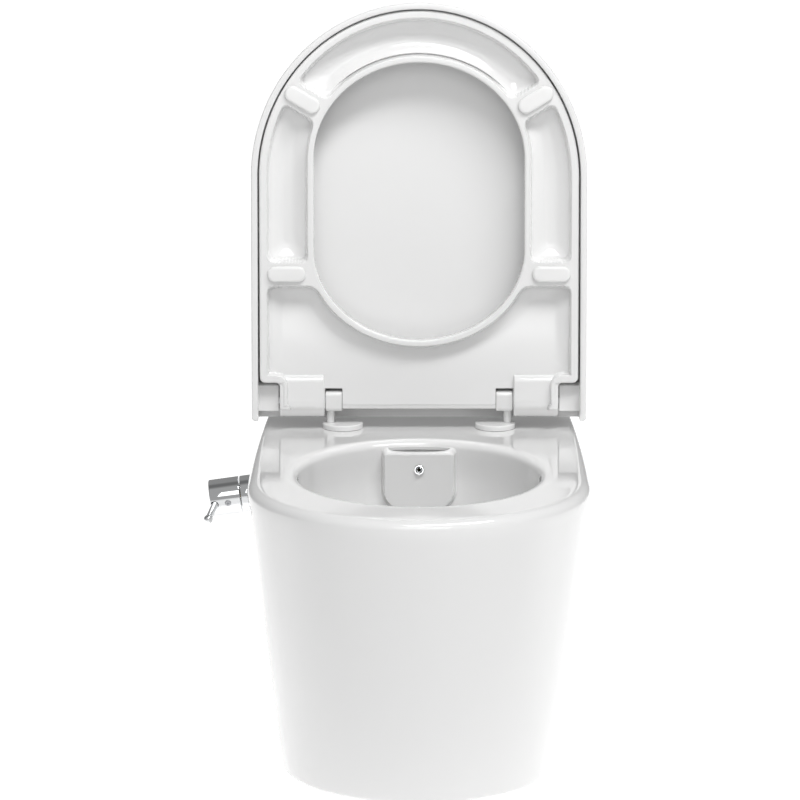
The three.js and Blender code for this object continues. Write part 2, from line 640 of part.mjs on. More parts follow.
function dShape(halfWidth, front, arc, rear) {
  const shape = new THREE.Shape();
  shape.moveTo(-halfWidth, rear);
  shape.lineTo(halfWidth, rear);
  shape.lineTo(halfWidth, front - arc);
  shape.absellipse(0, front - arc, halfWidth, arc, 0, Math.PI, false);
  return shape;
}

function rectangle(x0, x1, u0, u1) {
  const shape = new THREE.Shape();
  shape.moveTo(x0, u0);
  shape.lineTo(x1, u0);
  shape.lineTo(x1, u1);
  shape.lineTo(x0, u1);
  return shape;
}

function holeShape(grow) {
  const { halfWidth, rear, rearArc, frontArc, front } = HOLE;
  const shape = new THREE.Shape();
  shape.absellipse(0, front - frontArc, halfWidth + grow, frontArc + grow, 0, Math.PI, false);
  shape.absellipse(0, rear + rearArc, halfWidth + grow, rearArc + grow, Math.PI, 2 * Math.PI, false);
  return shape;
}

function seatRing() {
  const { halfWidth, front, arc, top, ceiling, under, outerLip } = SEAT;
  const { end, underside, halfWidth: rearHalf, shoulder, front: webFront, topFront } = REAR_WEB;
  const plate = slab(dShape(halfWidth, front, arc, shoulder), ceiling, top, ARC_STEPS, PLATE_BEVEL);
  const rim = slab(dShape(halfWidth, front, arc, shoulder), under, ceiling + 2, ARC_STEPS);
  const inner = slab(dShape(halfWidth - outerLip, front - outerLip, arc - outerLip, -30), under - 1, ceiling, ARC_STEPS);
  let body = join(plate, cut(rim, inner));
  const innerLip = slab(holeShape(HOLE.innerLip), under, ceiling + 2, HOLE_STEPS);
  body = join(body, innerLip);
  body = join(body, slab(rectangle(-rearHalf, rearHalf, end, webFront), underside, ceiling + 2, 1));
  body = join(body, slab(rectangle(-rearHalf, rearHalf, end, topFront), ceiling, top, 1, PLATE_BEVEL));
  for (const { x, u, turn } of BUMPERS) body = join(body, crossRib(x, u, turn));
  body = cut(body, slab(holeShape(0), under - 2, top + 2, HOLE_STEPS));
  const { stem, stemTop } = BUMPER;
  for (const { x, u } of BUMPERS) body = cut(body, rodZ(stem + GAP, under - 5, stemTop + GAP, x, -u, 12));
  for (const side of [-1, 1]) {
    const { beside, ahead } = POST_ROOM;
    const postRoom = box(POST.inner - beside, SEAT_KNUCKLE.from, -POST.half - ahead, 30, -40, 20);
    body = cut(body, mirrorTo(side, postRoom));
    body = join(body, mirrorTo(side, seatKnuckle()));
    const { from, to, cavity } = SEAT_KNUCKLE;
    const pinHole = rodX(PIN.radius + 0.4, from - 1, to, 0, 0, 24);
    const sleeveRoom = rodX(cavity, from + 2, to + 1, 0, 0, 24);
    body = cut(body, mirrorTo(side, pinHole), mirrorTo(side, sleeveRoom));
  }
  return body;
}

const RIB = { width: 25.5, length: 62 };

function crossRib(x, u, turn) {
  const height = SEAT.ceiling + 1 - SEAT.under;
  const geometry = new THREE.BoxGeometry(RIB.length, RIB.width, height);
  geometry.rotateZ(-THREE.MathUtils.degToRad(turn)).translate(x, -u, SEAT.under + height / 2);
  const channel = slab(dShape(SEAT.halfWidth - 1, SEAT.front - 1, SEAT.arc - 1, 10), SEAT.under - 5, 0, ARC_STEPS);
  return solid(geometry).intersect(channel);
}

function seatKnuckle() {
  const { from, to, radius } = SEAT_KNUCKLE;
  const barrel = rodX(radius, from, to, 0, 0, 32);
  const web = box(from, to, -radius - 8, 0, REAR_WEB.underside, SEAT.top - 0.5);
  return join(barrel, web);
}

// A rubber pad with a stem pressed into the rib above it.
const BUMPER = { halfLength: 12, radius: 8.7, foot: -30.1, stem: 4, stemTop: -14 };

function bumper({ x, u, turn }) {
  const { halfLength, radius, foot, stem, stemTop } = BUMPER;
  const face = new THREE.Shape();
  face.absarc(halfLength, 0, radius, -Math.PI / 2, Math.PI / 2, false);
  face.absarc(-halfLength, 0, radius, Math.PI / 2, 1.5 * Math.PI, false);
  const bevel = 1.2;
  const options = {
    depth: SEAT.under - GAP - foot - 2 * bevel,
    bevelEnabled: true,
    bevelSize: bevel,
    bevelOffset: -bevel,
    bevelThickness: bevel,
    bevelSegments: 1,
    curveSegments: 7,
  };
  const geometry = new THREE.ExtrudeGeometry(face, options).rotateZ(-THREE.MathUtils.degToRad(turn));
  const pad = solid(geometry.translate(x, -u, foot + bevel));
  return join(pad, rodZ(stem, foot + 1, stemTop, x, -u, 12));
}

function lidShell() {
  const { halfWidth, front, rear, arc, wall, top, inner, skirt } = LID;
  const outside = slab(dShape(halfWidth, front, arc, rear), skirt, top, ARC_STEPS, 3);
  const room = slab(dShape(halfWidth - wall, front - wall, arc - wall, rear - 20), skirt - 5, inner, ARC_STEPS);
  let body = cut(outside, room);
  for (const side of [-1, 1]) {
    const { from, radius, cavity, cavityEnd, ahead, underside, inset } = LID_KNUCKLE;
    const barrel = rodX(radius, from, halfWidth - inset, 0, 0, 28);
    const block = box(from, halfWidth - inset, -ahead, 0, underside, inner + 2);
    const rib = box(from, halfWidth - inset, 0, radius, 0, inner + 2);
    body = join(body, mirrorTo(side, join(barrel, block, rib)));
    body = cut(body, mirrorTo(side, rodX(cavity, from - 1, cavityEnd, 0, 0, 24)));
  }
  return body;
}

function lidBuffer(side) {
  const { x, u, tip, root } = BUFFER;
  return mirrorTo(side, rodZ(tip, SEAT.top + GAP, LID.inner - GAP, x, -u, 20, root));
}

// A sleeve round the hinge pin: the soft-close damper on one side, a plain bush on the other.
function pinSleeve(side, from, to, outer) {
  const sleeve = cut(rodX(outer, from, to, 0, 0, 24), rodX(PIN.radius + GAP, from - 1, to + 1, 0, 0, 24));
  return mirrorTo(side, sleeve);
}

// ---------- assembly ----------
const SIDES = [
  { word: 'left', side: -1 },
  { word: 'right', side: 1 },
];

const bidetToilet = new THREE.Group();
addPiece(bidetToilet, 'bowl_ceramic', bowlCeramic(), CERAMIC);

for (const { word, side } of SIDES) {
  addPiece(bidetToilet, `wall_bracket_${word}`, wallBracket(side), STEEL);
  addPiece(bidetToilet, `bracket_screw_${word}`, bracketScrew(side), STEEL);
  addPiece(bidetToilet, `side_plug_${word}`, sidePlug(side), WHITE_PLASTIC);
}

addPiece(bidetToilet, 'nozzle_body', nozzleBody(), CHROME);
addPiece(bidetToilet, 'nozzle_tip', nozzleTip(), CHROME);
addPiece(bidetToilet, 'nozzle_gasket', ringOnNozzle(NOZZLE_SEAT + 0.3, NOZZLE_SEAT + 2.3, 8.5, 4.7), RUBBER);
addPiece(bidetToilet, 'nozzle_nut', ringOnNozzle(NOZZLE_SEAT + 2.6, NOZZLE_SEAT + 10, 9.5, 4.7, 6), BRASS);
addPiece(bidetToilet, 'nozzle_elbow', nozzleElbow(), BRASS);
addPiece(bidetToilet, 'feed_tube', feedTube(), GREY_PLASTIC);

const valve = mixerFrame();
bidetToilet.add(valve);
addPiece(valve, 'mixer_body', mixerBody(), BRASS);
addPiece(valve, 'mixer_gasket', ringOnValve(-1.7, -0.5, 19, 13.2), RUBBER);
addPiece(valve, 'mixer_nut', ringOnValve(-20.7, -14.5, 18.5, 13.2, 6), BRASS);
addPiece(valve, 'mixer_sleeve', mixerSleeve(), CHROME);
addPiece(valve, 'mixer_cartridge', mixerCartridge(), GREY_PLASTIC);
addPiece(valve, 'mixer_stem', mixerStem(), BRASS);
addPiece(valve, 'mixer_handle', mixerHandle(), CHROME);
addPiece(valve, 'lever_pin', leverPin(), CHROME);
addPiece(valve, 'grip_screw', gripScrew(), STEEL);

const deckUnder = RIM_Z - DECK_THICKNESS;
for (const { word, side } of SIDES) {
  addPiece(bidetToilet, `hinge_disc_${word}`, hingeDisc(side), WHITE_PLASTIC);
  addPiece(bidetToilet, `hinge_post_${word}`, hingePost(side), WHITE_PLASTIC);
  addPiece(bidetToilet, `hinge_pin_${word}`, hingePin(side), STEEL);
  addPiece(bidetToilet, `hinge_bolt_${word}`, hingeBolt(side), STEEL);
  addPiece(bidetToilet, `hinge_bushing_${word}`, ringOnBolt(side, deckUnder + 1, RIM_Z - GAP, 6.7), RUBBER);
  addPiece(bidetToilet, `hinge_washer_${word}`, ringOnBolt(side, deckUnder - 2, deckUnder - GAP, 11), STEEL);
  addPiece(bidetToilet, `hinge_wingnut_${word}`, hingeWingnut(side), WHITE_PLASTIC);
}

const seat = hingedFrame(OPEN);
bidetToilet.add(seat);
addPiece(seat, 'seat_ring', seatRing(), DUROPLAST);
for (const place of BUMPERS) addPiece(seat, `seat_bumper_${place.name}`, bumper(place), SOFT_WHITE);
const seatSleeve = [SEAT_KNUCKLE.from + 2.3, SEAT_KNUCKLE.to - GAP, SEAT_KNUCKLE.cavity - GAP];
addPiece(seat, 'seat_damper_left', pinSleeve(-1, ...seatSleeve), GREY_PLASTIC);
addPiece(seat, 'seat_bush_right', pinSleeve(1, ...seatSleeve), GREY_PLASTIC);

const lid = hingedFrame(OPEN);
bidetToilet.add(lid);
addPiece(lid, 'lid_shell', lidShell(), DUROPLAST);
for (const { word, side } of SIDES) addPiece(lid, `lid_buffer_${word}`, lidBuffer(side), SOFT_WHITE);
const lidSleeve = [LID_KNUCKLE.from + GAP, LID_KNUCKLE.cavityEnd - GAP, LID_KNUCKLE.cavity - GAP];
addPiece(lid, 'lid_damper_right', pinSleeve(1, ...lidSleeve), GREY_PLASTIC);
addPiece(lid, 'lid_bush_left', pinSleeve(-1, ...lidSleeve), GREY_PLASTIC);

export default bidetToilet;
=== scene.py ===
"""Wall-hung bidet toilet: finished meshes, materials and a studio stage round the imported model.

Metres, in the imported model's own frame: +Z up, the front faces -Y, the wall is the plane y = 0.
Seat and lid are drawn closed, in a frame on the hinge line with u forwards and t upwards, and then raised.
"""
import json
import math

import bmesh
import bpy
import numpy as np
from bpy.props import FloatProperty, FloatVectorProperty, PointerProperty
from mathutils import Matrix, Vector


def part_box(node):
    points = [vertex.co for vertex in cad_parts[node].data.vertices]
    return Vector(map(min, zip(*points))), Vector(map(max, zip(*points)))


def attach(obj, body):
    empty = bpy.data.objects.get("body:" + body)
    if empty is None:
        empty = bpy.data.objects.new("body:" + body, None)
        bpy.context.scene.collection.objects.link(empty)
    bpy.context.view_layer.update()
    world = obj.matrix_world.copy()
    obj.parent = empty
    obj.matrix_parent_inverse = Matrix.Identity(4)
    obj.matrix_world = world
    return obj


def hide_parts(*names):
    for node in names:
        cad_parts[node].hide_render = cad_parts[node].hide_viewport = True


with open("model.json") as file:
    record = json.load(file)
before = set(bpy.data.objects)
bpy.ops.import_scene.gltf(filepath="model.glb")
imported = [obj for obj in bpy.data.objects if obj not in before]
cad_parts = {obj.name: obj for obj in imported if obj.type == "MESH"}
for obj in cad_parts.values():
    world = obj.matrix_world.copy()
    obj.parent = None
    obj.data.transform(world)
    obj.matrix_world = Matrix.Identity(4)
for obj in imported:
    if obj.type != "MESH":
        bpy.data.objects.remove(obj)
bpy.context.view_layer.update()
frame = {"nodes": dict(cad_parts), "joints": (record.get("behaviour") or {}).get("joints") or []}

bl_info = {
    "name": "Bidet Toilet",
    "version": (1, 0, 0),
    "blender": (4, 5, 0),
    "location": "View3D > Sidebar > Toilet",
    "description": "Builds a wall-hung bidet toilet round its packed model",
    "category": "Object",
}

BOWL_LOW, BOWL_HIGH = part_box("bowl_ceramic")
RIM_Z = BOWL_HIGH.z
FOOT_Z = BOWL_LOW.z
JOINTS = {joint["name"]: joint for joint in frame["joints"]}
HINGE = Vector(JOINTS["lid_hinge"]["pos_m"])
OPEN_ANGLE = math.radians(JOINTS["seat_hinge"]["range_deg"][1])
VALVE_AT = Vector(JOINTS["mixer_turn"]["pos_m"])
VALVE_AXIS = Vector(JOINTS["mixer_turn"]["axis"]).normalized()
NOZZLE_AT = Vector(JOINTS["nozzle_swivel"]["pos_m"])
RAISED = Matrix.Translation(HINGE) @ Matrix.Rotation(-OPEN_ANGLE, 4, "X")


# The basin's mouth: its middle along Y, and half its width and length.
BASIN_CENTRE, BASIN_HALF = -0.299, (0.126, 0.140)


# ---------- sizes and colours that a user would change ----------
def length(name, description, default):
    return FloatProperty(name=name, description=description, default=default, unit="LENGTH", precision=4)


def share(name, description, default):
    return FloatProperty(name=name, description=description, default=default, min=0, max=1, subtype="FACTOR")


def tint(name, description, default):
    return FloatVectorProperty(name=name, description=description, default=default,
                               min=0, max=1, subtype="COLOR")


class BowlSizes(bpy.types.PropertyGroup):
    half_width: length("Half width", "Half the ceramic's width at its widest place", 0.177)
    front_depth: length("Front depth", "Depth of the front half-ellipse at the rim", 0.174)
    foot_half_width: length("Foot half width", "Half the ceramic's width at the foot", 0.143)
    foot_front_depth: length("Foot front depth", "Depth of the front half-ellipse at the foot", 0.138)
    narrowing: length("Side narrowing", "How far each side draws in towards the wall", 0.0095)
    wall: length("Skirt wall", "Thickness of the skirt", 0.012)
    edge_round: length("Edge round", "Radius of the outer edge of the deck", 0.010)
    foot_round: length("Foot round", "Radius of the lower edge of the skirt", 0.006)
    lip_width: length("Lip width", "How far the basin's rolled lip spreads", 0.015)
    lip_drop: length("Lip drop", "How far the basin's rolled lip falls", 0.0095)


class SeatSizes(bpy.types.PropertyGroup):
    half_width: length("Half width", "Half the seat's width", 0.1713)
    front: length("Front", "Front edge, from the hinge line", 0.4193)
    hole_half_width: length("Hole half width", "Half the opening's width", 0.113)
    hole_rear: length("Hole rear", "Rear end of the opening, from the hinge line", 0.0665)
    hole_front: length("Hole front", "Front end of the opening, from the hinge line", 0.364)
    outer_lip: length("Outer lip", "Width of the outer lip under the seat", 0.0078)
    inner_lip: length("Inner lip", "Width of the lip round the opening", 0.006)
    rib_width: length("Rib width", "Width of the cross ribs that carry the bumpers", 0.0255)


class LidSizes(bpy.types.PropertyGroup):
    half_width: length("Half width", "Half the lid's width", 0.180)
    front: length("Front", "Front edge, from the hinge line", 0.4276)
    rear: length("Rear", "Rear edge, from the hinge line", -0.0205)
    wall: length("Side wall", "Thickness of the side wall", 0.007)
    top_round: length("Top round", "Radius of the lid's upper edge", 0.007)


class Finishes(bpy.types.PropertyGroup):
    glaze: tint("Glaze", "Colour of the glazed ceramic", (0.85, 0.85, 0.848))
    glaze_roughness: share("Glaze roughness", "Roughness of the glaze", 0.07)
    seat: tint("Seat plastic", "Colour of the seat and lid", (0.83, 0.83, 0.828))
    seat_roughness: share("Seat roughness", "Roughness of the seat and lid", 0.12)
    chrome: tint("Chrome", "Colour of the plated parts", (0.86, 0.87, 0.88))


# ---------- shader maths ----------
class Wire:
    """A socket of a node tree, with the sums that the materials need."""

    def __init__(self, nodes, socket):
        self.nodes = nodes
        self.socket = socket

    def _math(self, operation, *values):
        inputs = dict(enumerate(values))
        return self.nodes.add("ShaderNodeMath", {"operation": operation}, inputs)

    def __add__(self, other):
        return self._math("ADD", self, other)

    __radd__ = __add__

    def __mul__(self, other):
        return self._math("MULTIPLY", self, other)

    __rmul__ = __mul__

    def __sub__(self, other):
        return self._math("SUBTRACT", self, other)

    def __rsub__(self, other):
        return self._math("SUBTRACT", other, self)


class Nodes:
    """Adds nodes to one tree."""

    def __init__(self, tree):
        self.tree = tree

    def add(self, kind, settings=None, inputs=None, output=0):
        node = self.tree.nodes.new(kind)
        for name, value in (settings or {}).items():
            setattr(node, name, value)
        for name, value in (inputs or {}).items():
            self.set(node.inputs[name], value)
        return Wire(self, node.outputs[output])

    def set(self, socket, value):
        if isinstance(value, Wire):
            self.tree.links.new(value.socket, socket)
        else:
            socket.default_value = value

    def noise(self, scale, detail=2.0, roughness=0.5):
        place = self.add("ShaderNodeTexCoord", output="Object")
        values = {"Vector": place, "Scale": scale, "Detail": detail, "Roughness": roughness}
        return self.add("ShaderNodeTexNoise", None, values)

    def mix_colour(self, factor, a, b):
        a, b = [colour if isinstance(colour, Wire) else (*colour, 1) for colour in (a, b)]
        return self.add("ShaderNodeMix", {"data_type": "RGBA"}, {0: factor, 6: a, 7: b}, output=2)

    def axis(self, place, name):
        """The X, Y or Z of a place."""
        return self.add("ShaderNodeSeparateXYZ", None, {0: place}, output=name)

    def ramp(self, value, start, end, low, high, kind="SMOOTHSTEP"):
        """low up to start, high from end on, and a slope between."""
        inputs = {"Value": value, "From Min": start, "From Max": end, "To Min": low, "To Max": high}
        return self.add("ShaderNodeMapRange", {"interpolation_type": kind}, inputs)

    def bump(self, height, strength, distance):
        inputs = {"Height": height, "Strength": strength, "Distance": distance}
        return self.add("ShaderNodeBump", None, inputs)


def new_material(name, constants, links):
    """A Principled material: constants stay on the shader's sockets, links(nodes) gives what varies."""
    material = bpy.data.materials.new("finish_" + name)
    material.use_nodes = True
    tree = material.node_tree
    shader = tree.nodes["Principled BSDF"]
    nodes = Nodes(tree)
    for socket, value in constants.items():
        shader.inputs[socket].default_value = value
    for socket, value in links(nodes).items():
        nodes.set(shader.inputs[socket], value)
    return material


def shade_of(colour, factor):
    return tuple(channel * factor for channel in colour)


def glazed_ceramic(name, finish):
    def links(nodes):
        cloud = nodes.noise(5.0, 3)
        ripple = nodes.noise(38.0, 1)
        speck = nodes.noise(900.0, 2)
        height = ripple + speck * 0.04
        place = nodes.add("ShaderNodeTexCoord", output="Object")
        across, along, up = [nodes.axis(place, name) for name in "XYZ"]
        # Painted shade: inside the basin's mouth and below the rim the glaze is drawn 6% darker, for the
        # shade that falls in the basin.
        x, y = across * (1 / BASIN_HALF[0]), (along - BASIN_CENTRE) * (1 / BASIN_HALF[1])
        within = nodes.ramp(x * x + y * y, 1.0, 1.03, 1.0, 0.0, "LINEAR")
        below = nodes.ramp(up, 0.071, 0.0745, 1.0, 0.0, "LINEAR")
        basin_painted_shade = nodes.mix_colour(within * below, finish.glaze, shade_of(finish.glaze, 0.94))
        return {
            "Base Color": nodes.mix_colour(cloud * 0.015, basin_painted_shade, (0.5, 0.5, 0.5)),
            "Roughness": cloud * 0.03 + (finish.glaze_roughness - 0.015),
            "Normal": nodes.bump(height, 0.10, 0.0004),
        }

    constants = {"IOR": 1.52, "Coat Weight": 0.8, "Coat Roughness": 0.03, "Coat IOR": 1.5}
    return new_material(name, constants, links)


def gloss_moulding(name, colour, roughness, grain=0.06):
    def links(nodes):
        cloud = nodes.noise(9.0, 2)
        peel = nodes.noise(160.0, 2)
        return {
            "Base Color": nodes.mix_colour(cloud, shade_of(colour, 0.985), colour),
            "Roughness": cloud * 0.05 + (roughness - 0.025),
            "Normal": nodes.bump(peel, grain, 0.00025),
        }

    return new_material(name, {"IOR": 1.49, "Coat Weight": 0.2, "Coat Roughness": 0.06}, links)


def polished_chrome(name, colour):
    def links(nodes):
        smear = nodes.noise(60.0, 3)
        fine = nodes.noise(1400.0, 2)
        return {
            "Base Color": nodes.mix_colour(smear, shade_of(colour, 0.96), colour),
            "Roughness": smear * 0.03 + 0.015,
            "Normal": nodes.bump(fine, 0.015, 0.00005),
        }

    return new_material(name, {"Metallic": 1.0}, links)


def brushed_metal(name, colour, roughness):
    def links(nodes):
        place = nodes.add("ShaderNodeTexCoord", output="Object")
        stretch = {0: place, 1: (1500.0, 90.0, 90.0)}
        lines = nodes.add("ShaderNodeVectorMath", {"operation": "MULTIPLY"}, stretch)
        brush = nodes.add("ShaderNodeTexNoise", None, {"Vector": lines, "Scale": 1.0, "Detail": 3.0})
        patina = nodes.noise(70.0, 4)
        return {
            "Base Color": nodes.mix_colour(patina, shade_of(colour, 0.82), colour),
            "Roughness": brush * 0.2 + (roughness - 0.08),
            "Normal": nodes.bump(brush, 0.12, 0.00008),
        }

    return new_material(name, {"Metallic": 1.0}, links)


def dull_polymer(name, colour, roughness, grain, scale):
    def links(nodes):
        texture = nodes.noise(scale, 3)
        cloud = nodes.noise(25.0, 2)
        return {
            "Base Color": nodes.mix_colour(cloud, shade_of(colour, 0.88), colour),
            "Roughness": texture * 0.15 + (roughness - 0.07),
            "Normal": nodes.bump(texture, grain, 0.0002),
        }

    return new_material(name, {"IOR": 1.48}, links)


def material(name):
    """The finish of one of the record's slots, made once and then shared."""
    made = bpy.data.materials.get("finish_" + name)
    if made:
        return made
    finish = bpy.context.scene.toilet_finish
    makers = {
        "glazed_ceramic": (glazed_ceramic, finish),
        "gloss_seat_plastic": (gloss_moulding, finish.seat, finish.seat_roughness),
        "white_plastic": (gloss_moulding, (0.83, 0.83, 0.827), 0.22, 0.1),
        "chrome": (polished_chrome, finish.chrome),
        "brass": (brushed_metal, (0.72, 0.53, 0.26), 0.34),
        "steel": (brushed_metal, (0.60, 0.61, 0.63), 0.32),
        "grey_plastic": (dull_polymer, (0.22, 0.23, 0.235), 0.5, 0.25, 600.0),
        "black_rubber": (dull_polymer, (0.022, 0.022, 0.023), 0.75, 0.35, 350.0),
        "soft_white_rubber": (dull_polymer, (0.90, 0.90, 0.896), 0.20, 0.04, 500.0),
    }
    maker, *values = makers[name]
    return maker(name, *values)


# ---------- mesh tools ----------
def piece(name, points, faces):
    mesh = bpy.data.meshes.new(name)
    mesh.from_pydata([tuple(p) for p in points], [], faces)
    body = bpy.data.objects.new(name, mesh)
    bpy.context.scene.collection.objects.link(body)
    face_outwards(mesh)
    shade(body, 35)
    return body


def face_outwards(mesh):
    work = bmesh.new()
    work.from_mesh(mesh)
    bmesh.ops.remove_doubles(work, verts=work.verts, dist=1e-7)
    bmesh.ops.recalc_face_normals(work, faces=work.faces)
    if work.calc_volume(signed=True) < 0:
        bmesh.ops.reverse_faces(work, faces=work.faces)
    work.to_mesh(mesh)
    work.free()


def shade(body, angle):
    body.data.shade_smooth()
    body.data.set_sharp_from_angle(angle=math.radians(angle))


def grid_faces(rows, columns, wrap_rows=False):
    """Quads of a grid whose columns close on themselves, and its rows too if wrap_rows."""
    faces = []
    for i in range(rows if wrap_rows else rows - 1):
        lower, upper = i * columns, ((i + 1) % rows) * columns
        for j in range(columns):
            k = (j + 1) % columns
            faces.append((lower + j, lower + k, upper + k, upper + j))
    return faces


def loft(name, rings):
    """A closed body through rings of equal point count, with a flat face on each end."""
    columns = len(rings[0])
    faces = grid_faces(len(rings), columns)
    faces.append(tuple(range(columns))[::-1])
    faces.append(tuple(range((len(rings) - 1) * columns, len(rings) * columns)))
    return piece(name, [p for ring in rings for p in ring], faces)


def torus_grid(name, rings):
    """A closed ring-shaped body: the rows close on themselves too."""
    faces = grid_faces(len(rings), len(rings[0]), wrap_rows=True)
    return piece(name, [p for ring in rings for p in ring], faces)


def lathe(name, profile, place, segments=64):
    """Turns a profile of (along, radius) round the local X axis. It starts and ends on the axis."""
    rings = []
    for along, radius in profile[1:-1]:
        angles = [2 * math.pi * i / segments for i in range(segments)]
        rings.append([(along, radius * math.cos(a), radius * math.sin(a)) for a in angles])
    points = [p for ring in rings for p in ring]
    faces = grid_faces(len(rings), segments)
    first, last = len(points), len(points) + 1
    points += [(profile[0][0], 0, 0), (profile[-1][0], 0, 0)]
    end = (len(rings) - 1) * segments
    for j in range(segments):
        k = (j + 1) % segments
        faces.append((first, k, j))
        faces.append((last, end + j, end + k))
    body = piece(name, points, faces)
    body.data.transform(place)
    return body


def rod(name, radius, start, end, place, segments=48, bevel=0.0):
    profile = [(start, 0), (start, radius - bevel)]
    if bevel:
        profile += [(start + bevel * 0.3, radius - bevel * 0.3), (start + bevel, radius)]
        profile += [(end - bevel, radius), (end - bevel * 0.3, radius - bevel * 0.3)]
    profile += [(end, radius - bevel), (end, 0)]
    return lathe(name, profile, place, segments)


def block(name, low, high):
    corners = [(x, y, z) for x in (low[0], high[0]) for y in (low[1], high[1]) for z in (low[2], high[2])]
    faces = [(0, 1, 3, 2), (4, 6, 7, 5), (0, 4, 5, 1), (2, 3, 7, 6), (0, 2, 6, 4), (1, 5, 7, 3)]
    return piece(name, corners, faces)


def carve(body, tool, operation="DIFFERENCE"):
    """Joins or cuts body with tool, and removes the tool."""
    modifier = body.modifiers.new("carve", "BOOLEAN")
    modifier.solver = "MANIFOLD"
    modifier.operation = operation
    modifier.object = tool
    depsgraph = bpy.context.evaluated_depsgraph_get()
    made = bpy.data.meshes.new_from_object(body.evaluated_get(depsgraph))
    if not made.polygons:
        raise RuntimeError(f"{operation} of {tool.name} left nothing of {body.name}")
    body.modifiers.clear()
    old, body.data = body.data, made
    bpy.data.meshes.remove(old)
    bpy.data.meshes.remove(tool.data)
    return body


def finish_piece(body, slot, body_name, *nodes):
    """Gives a piece its finish, the CAD nodes that it stands for and the body that it moves with."""
    body.data.materials.clear()
    body.data.materials.append(material(slot))
    if nodes:
        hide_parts(*nodes)
    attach(body, body_name)
    return body


def along_x(point, direction):
    """A frame whose local X axis points along direction."""
    turn = Vector(direction).normalized().to_track_quat("X", "Z").to_matrix().to_4x4()
    return Matrix.Translation(point) @ turn


def arc(start, end, count):
    return [math.radians(start + (end - start) * i / count) for i in range(count + 1)]


def smooth_step(low, high, values):
    t = np.clip((values - low) / (high - low), 0, 1)
    return t * t * (3 - 2 * t)


def spline(rows, per_span):
    """Points on a Catmull-Rom curve through rows of numbers."""
    keys = np.array(rows, float)
    padded = np.vstack([2 * keys[0] - keys[1], keys, 2 * keys[-1] - keys[-2]])
    out = []
    for i in range(1, len(keys)):
        p0, p1, p2, p3 = padded[i - 1:i + 3]
        for step in range(per_span):
            t = step / per_span
            out.append(0.5 * (2 * p1 + (p2 - p0) * t + (2 * p0 - 5 * p1 + 4 * p2 - p3) * t**2
                              + (3 * p1 - p0 - 3 * p2 + p3) * t**3))
    out.append(keys[-1])
    return out


def circle(radius, count):
    angles = [2 * math.pi * i / count for i in range(count)]
    return [(radius * math.cos(a), radius * math.sin(a)) for a in angles]


def rounded(corners, closed=False, steps=4):
    """Rounds the corners of a flat path. Each corner is (a, b, radius)."""
    path = []
    last = len(corners) - 1
    for i, (a, b, radius) in enumerate(corners):
        here = Vector((a, b))
        if radius == 0 or (not closed and i in (0, last)):
            path.append((a, b))
            continue
        back = (Vector(corners[i - 1][:2]) - here).normalized()
        ahead = (Vector(corners[(i + 1) % len(corners)][:2]) - here).normalized()
        half = back.angle(ahead) / 2
        centre = here + (back + ahead).normalized() * radius / math.sin(half)
        reach = radius / math.tan(half)
        start, end = here + back * reach - centre, here + ahead * reach - centre
        path += [tuple(centre + start.lerp(end, k / steps).normalized() * radius) for k in range(steps + 1)]
    return path


def turned_ring(name, corners, place, segments=72, steps=4):
    """Turns a closed profile of (along, radius, corner radius), clear of the axis, round local X."""
    profile = rounded(corners, closed=True, steps=steps)
    angles = [2 * math.pi * i / segments for i in range(segments)]
    rings = [[(along, r * math.cos(a), r * math.sin(a)) for a in angles] for along, r in profile]
    body = torus_grid(name, rings)
    body.data.transform(place)
    return body


def turned(name, corners, place, segments=72, steps=4):
    """Turns an open profile of (along, radius, corner radius) that starts and ends on local X."""
    return lathe(name, rounded(corners, steps=steps), place, segments)


def rounded_rect(half_a, half_b, radius, inset=0.0, steps=8):
    """A ring of points round a rectangle with round corners, drawn in by inset."""
    ring = []
    r = max(radius - inset, 0.0002)
    centre_a, centre_b = half_a - inset - r, half_b - inset - r
    for sign_a, sign_b, start in ((1, 1, 0), (-1, 1, 90), (-1, -1, 180), (1, -1, 270)):
        for angle in arc(start, start + 90, steps):
            ring.append((sign_a * centre_a + r * math.cos(angle), sign_b * centre_b + r * math.sin(angle)))
    return ring


def soft_block(name, outline, levels, place):
    """A body through outline(inset) at several levels of (inset, height)."""
    body = loft(name, [[(a, b, height) for a, b in outline(inset)] for inset, height in levels])
    body.data.transform(place)
    return body


def edge_levels(low, high, radius, steps=4):
    """Levels for soft_block with rounded lower and upper edges."""
    bend = [(radius * (1 - math.sin(a)), radius * (1 - math.cos(a))) for a in arc(0, 90, steps)]
    lower = [(inset, low + rise) for inset, rise in bend]
    upper = [(inset, high - rise) for inset, rise in reversed(bend)]
    return lower + upper


# ---------- ceramic bowl ----------
STRAIGHT_BAND = 0.03
DECK_THICKNESS = 0.016
BASIN_LEVELS = [
    (-0.150, 0.030, 0.036, -0.283),
    (-0.135, 0.042, 0.049, -0.285),
    (-0.100, 0.064, 0.072, -0.294),
    (-0.055, 0.092, 0.103, -0.301),
    (-0.005, 0.115, 0.128, -0.300),
    (0.035, 0.125, 0.139, -0.299),
    (0.0705, 0.126, 0.140, -0.299),
]
LIP_POWER = 0.72  # below 1, the lip is flatter on top and turns down more tightly
POD = {"half": 0.039, "low": 0.007, "high": 0.0725, "front": -0.180, "low_round": 0.022, "high_round": 0.005}
TRAP_PATH = [(-0.300, -0.122), (-0.245, -0.121), (-0.205, -0.098), (-0.170, -0.062), (-0.138, -0.050),
             (-0.106, -0.062), (-0.080, -0.090), (-0.050, -0.100), (-0.030, -0.100)]


RIM_CENTRE, FOOT_CENTRE = -0.338, -0.305  # where the front half-ellipse begins, at the rim and at the foot


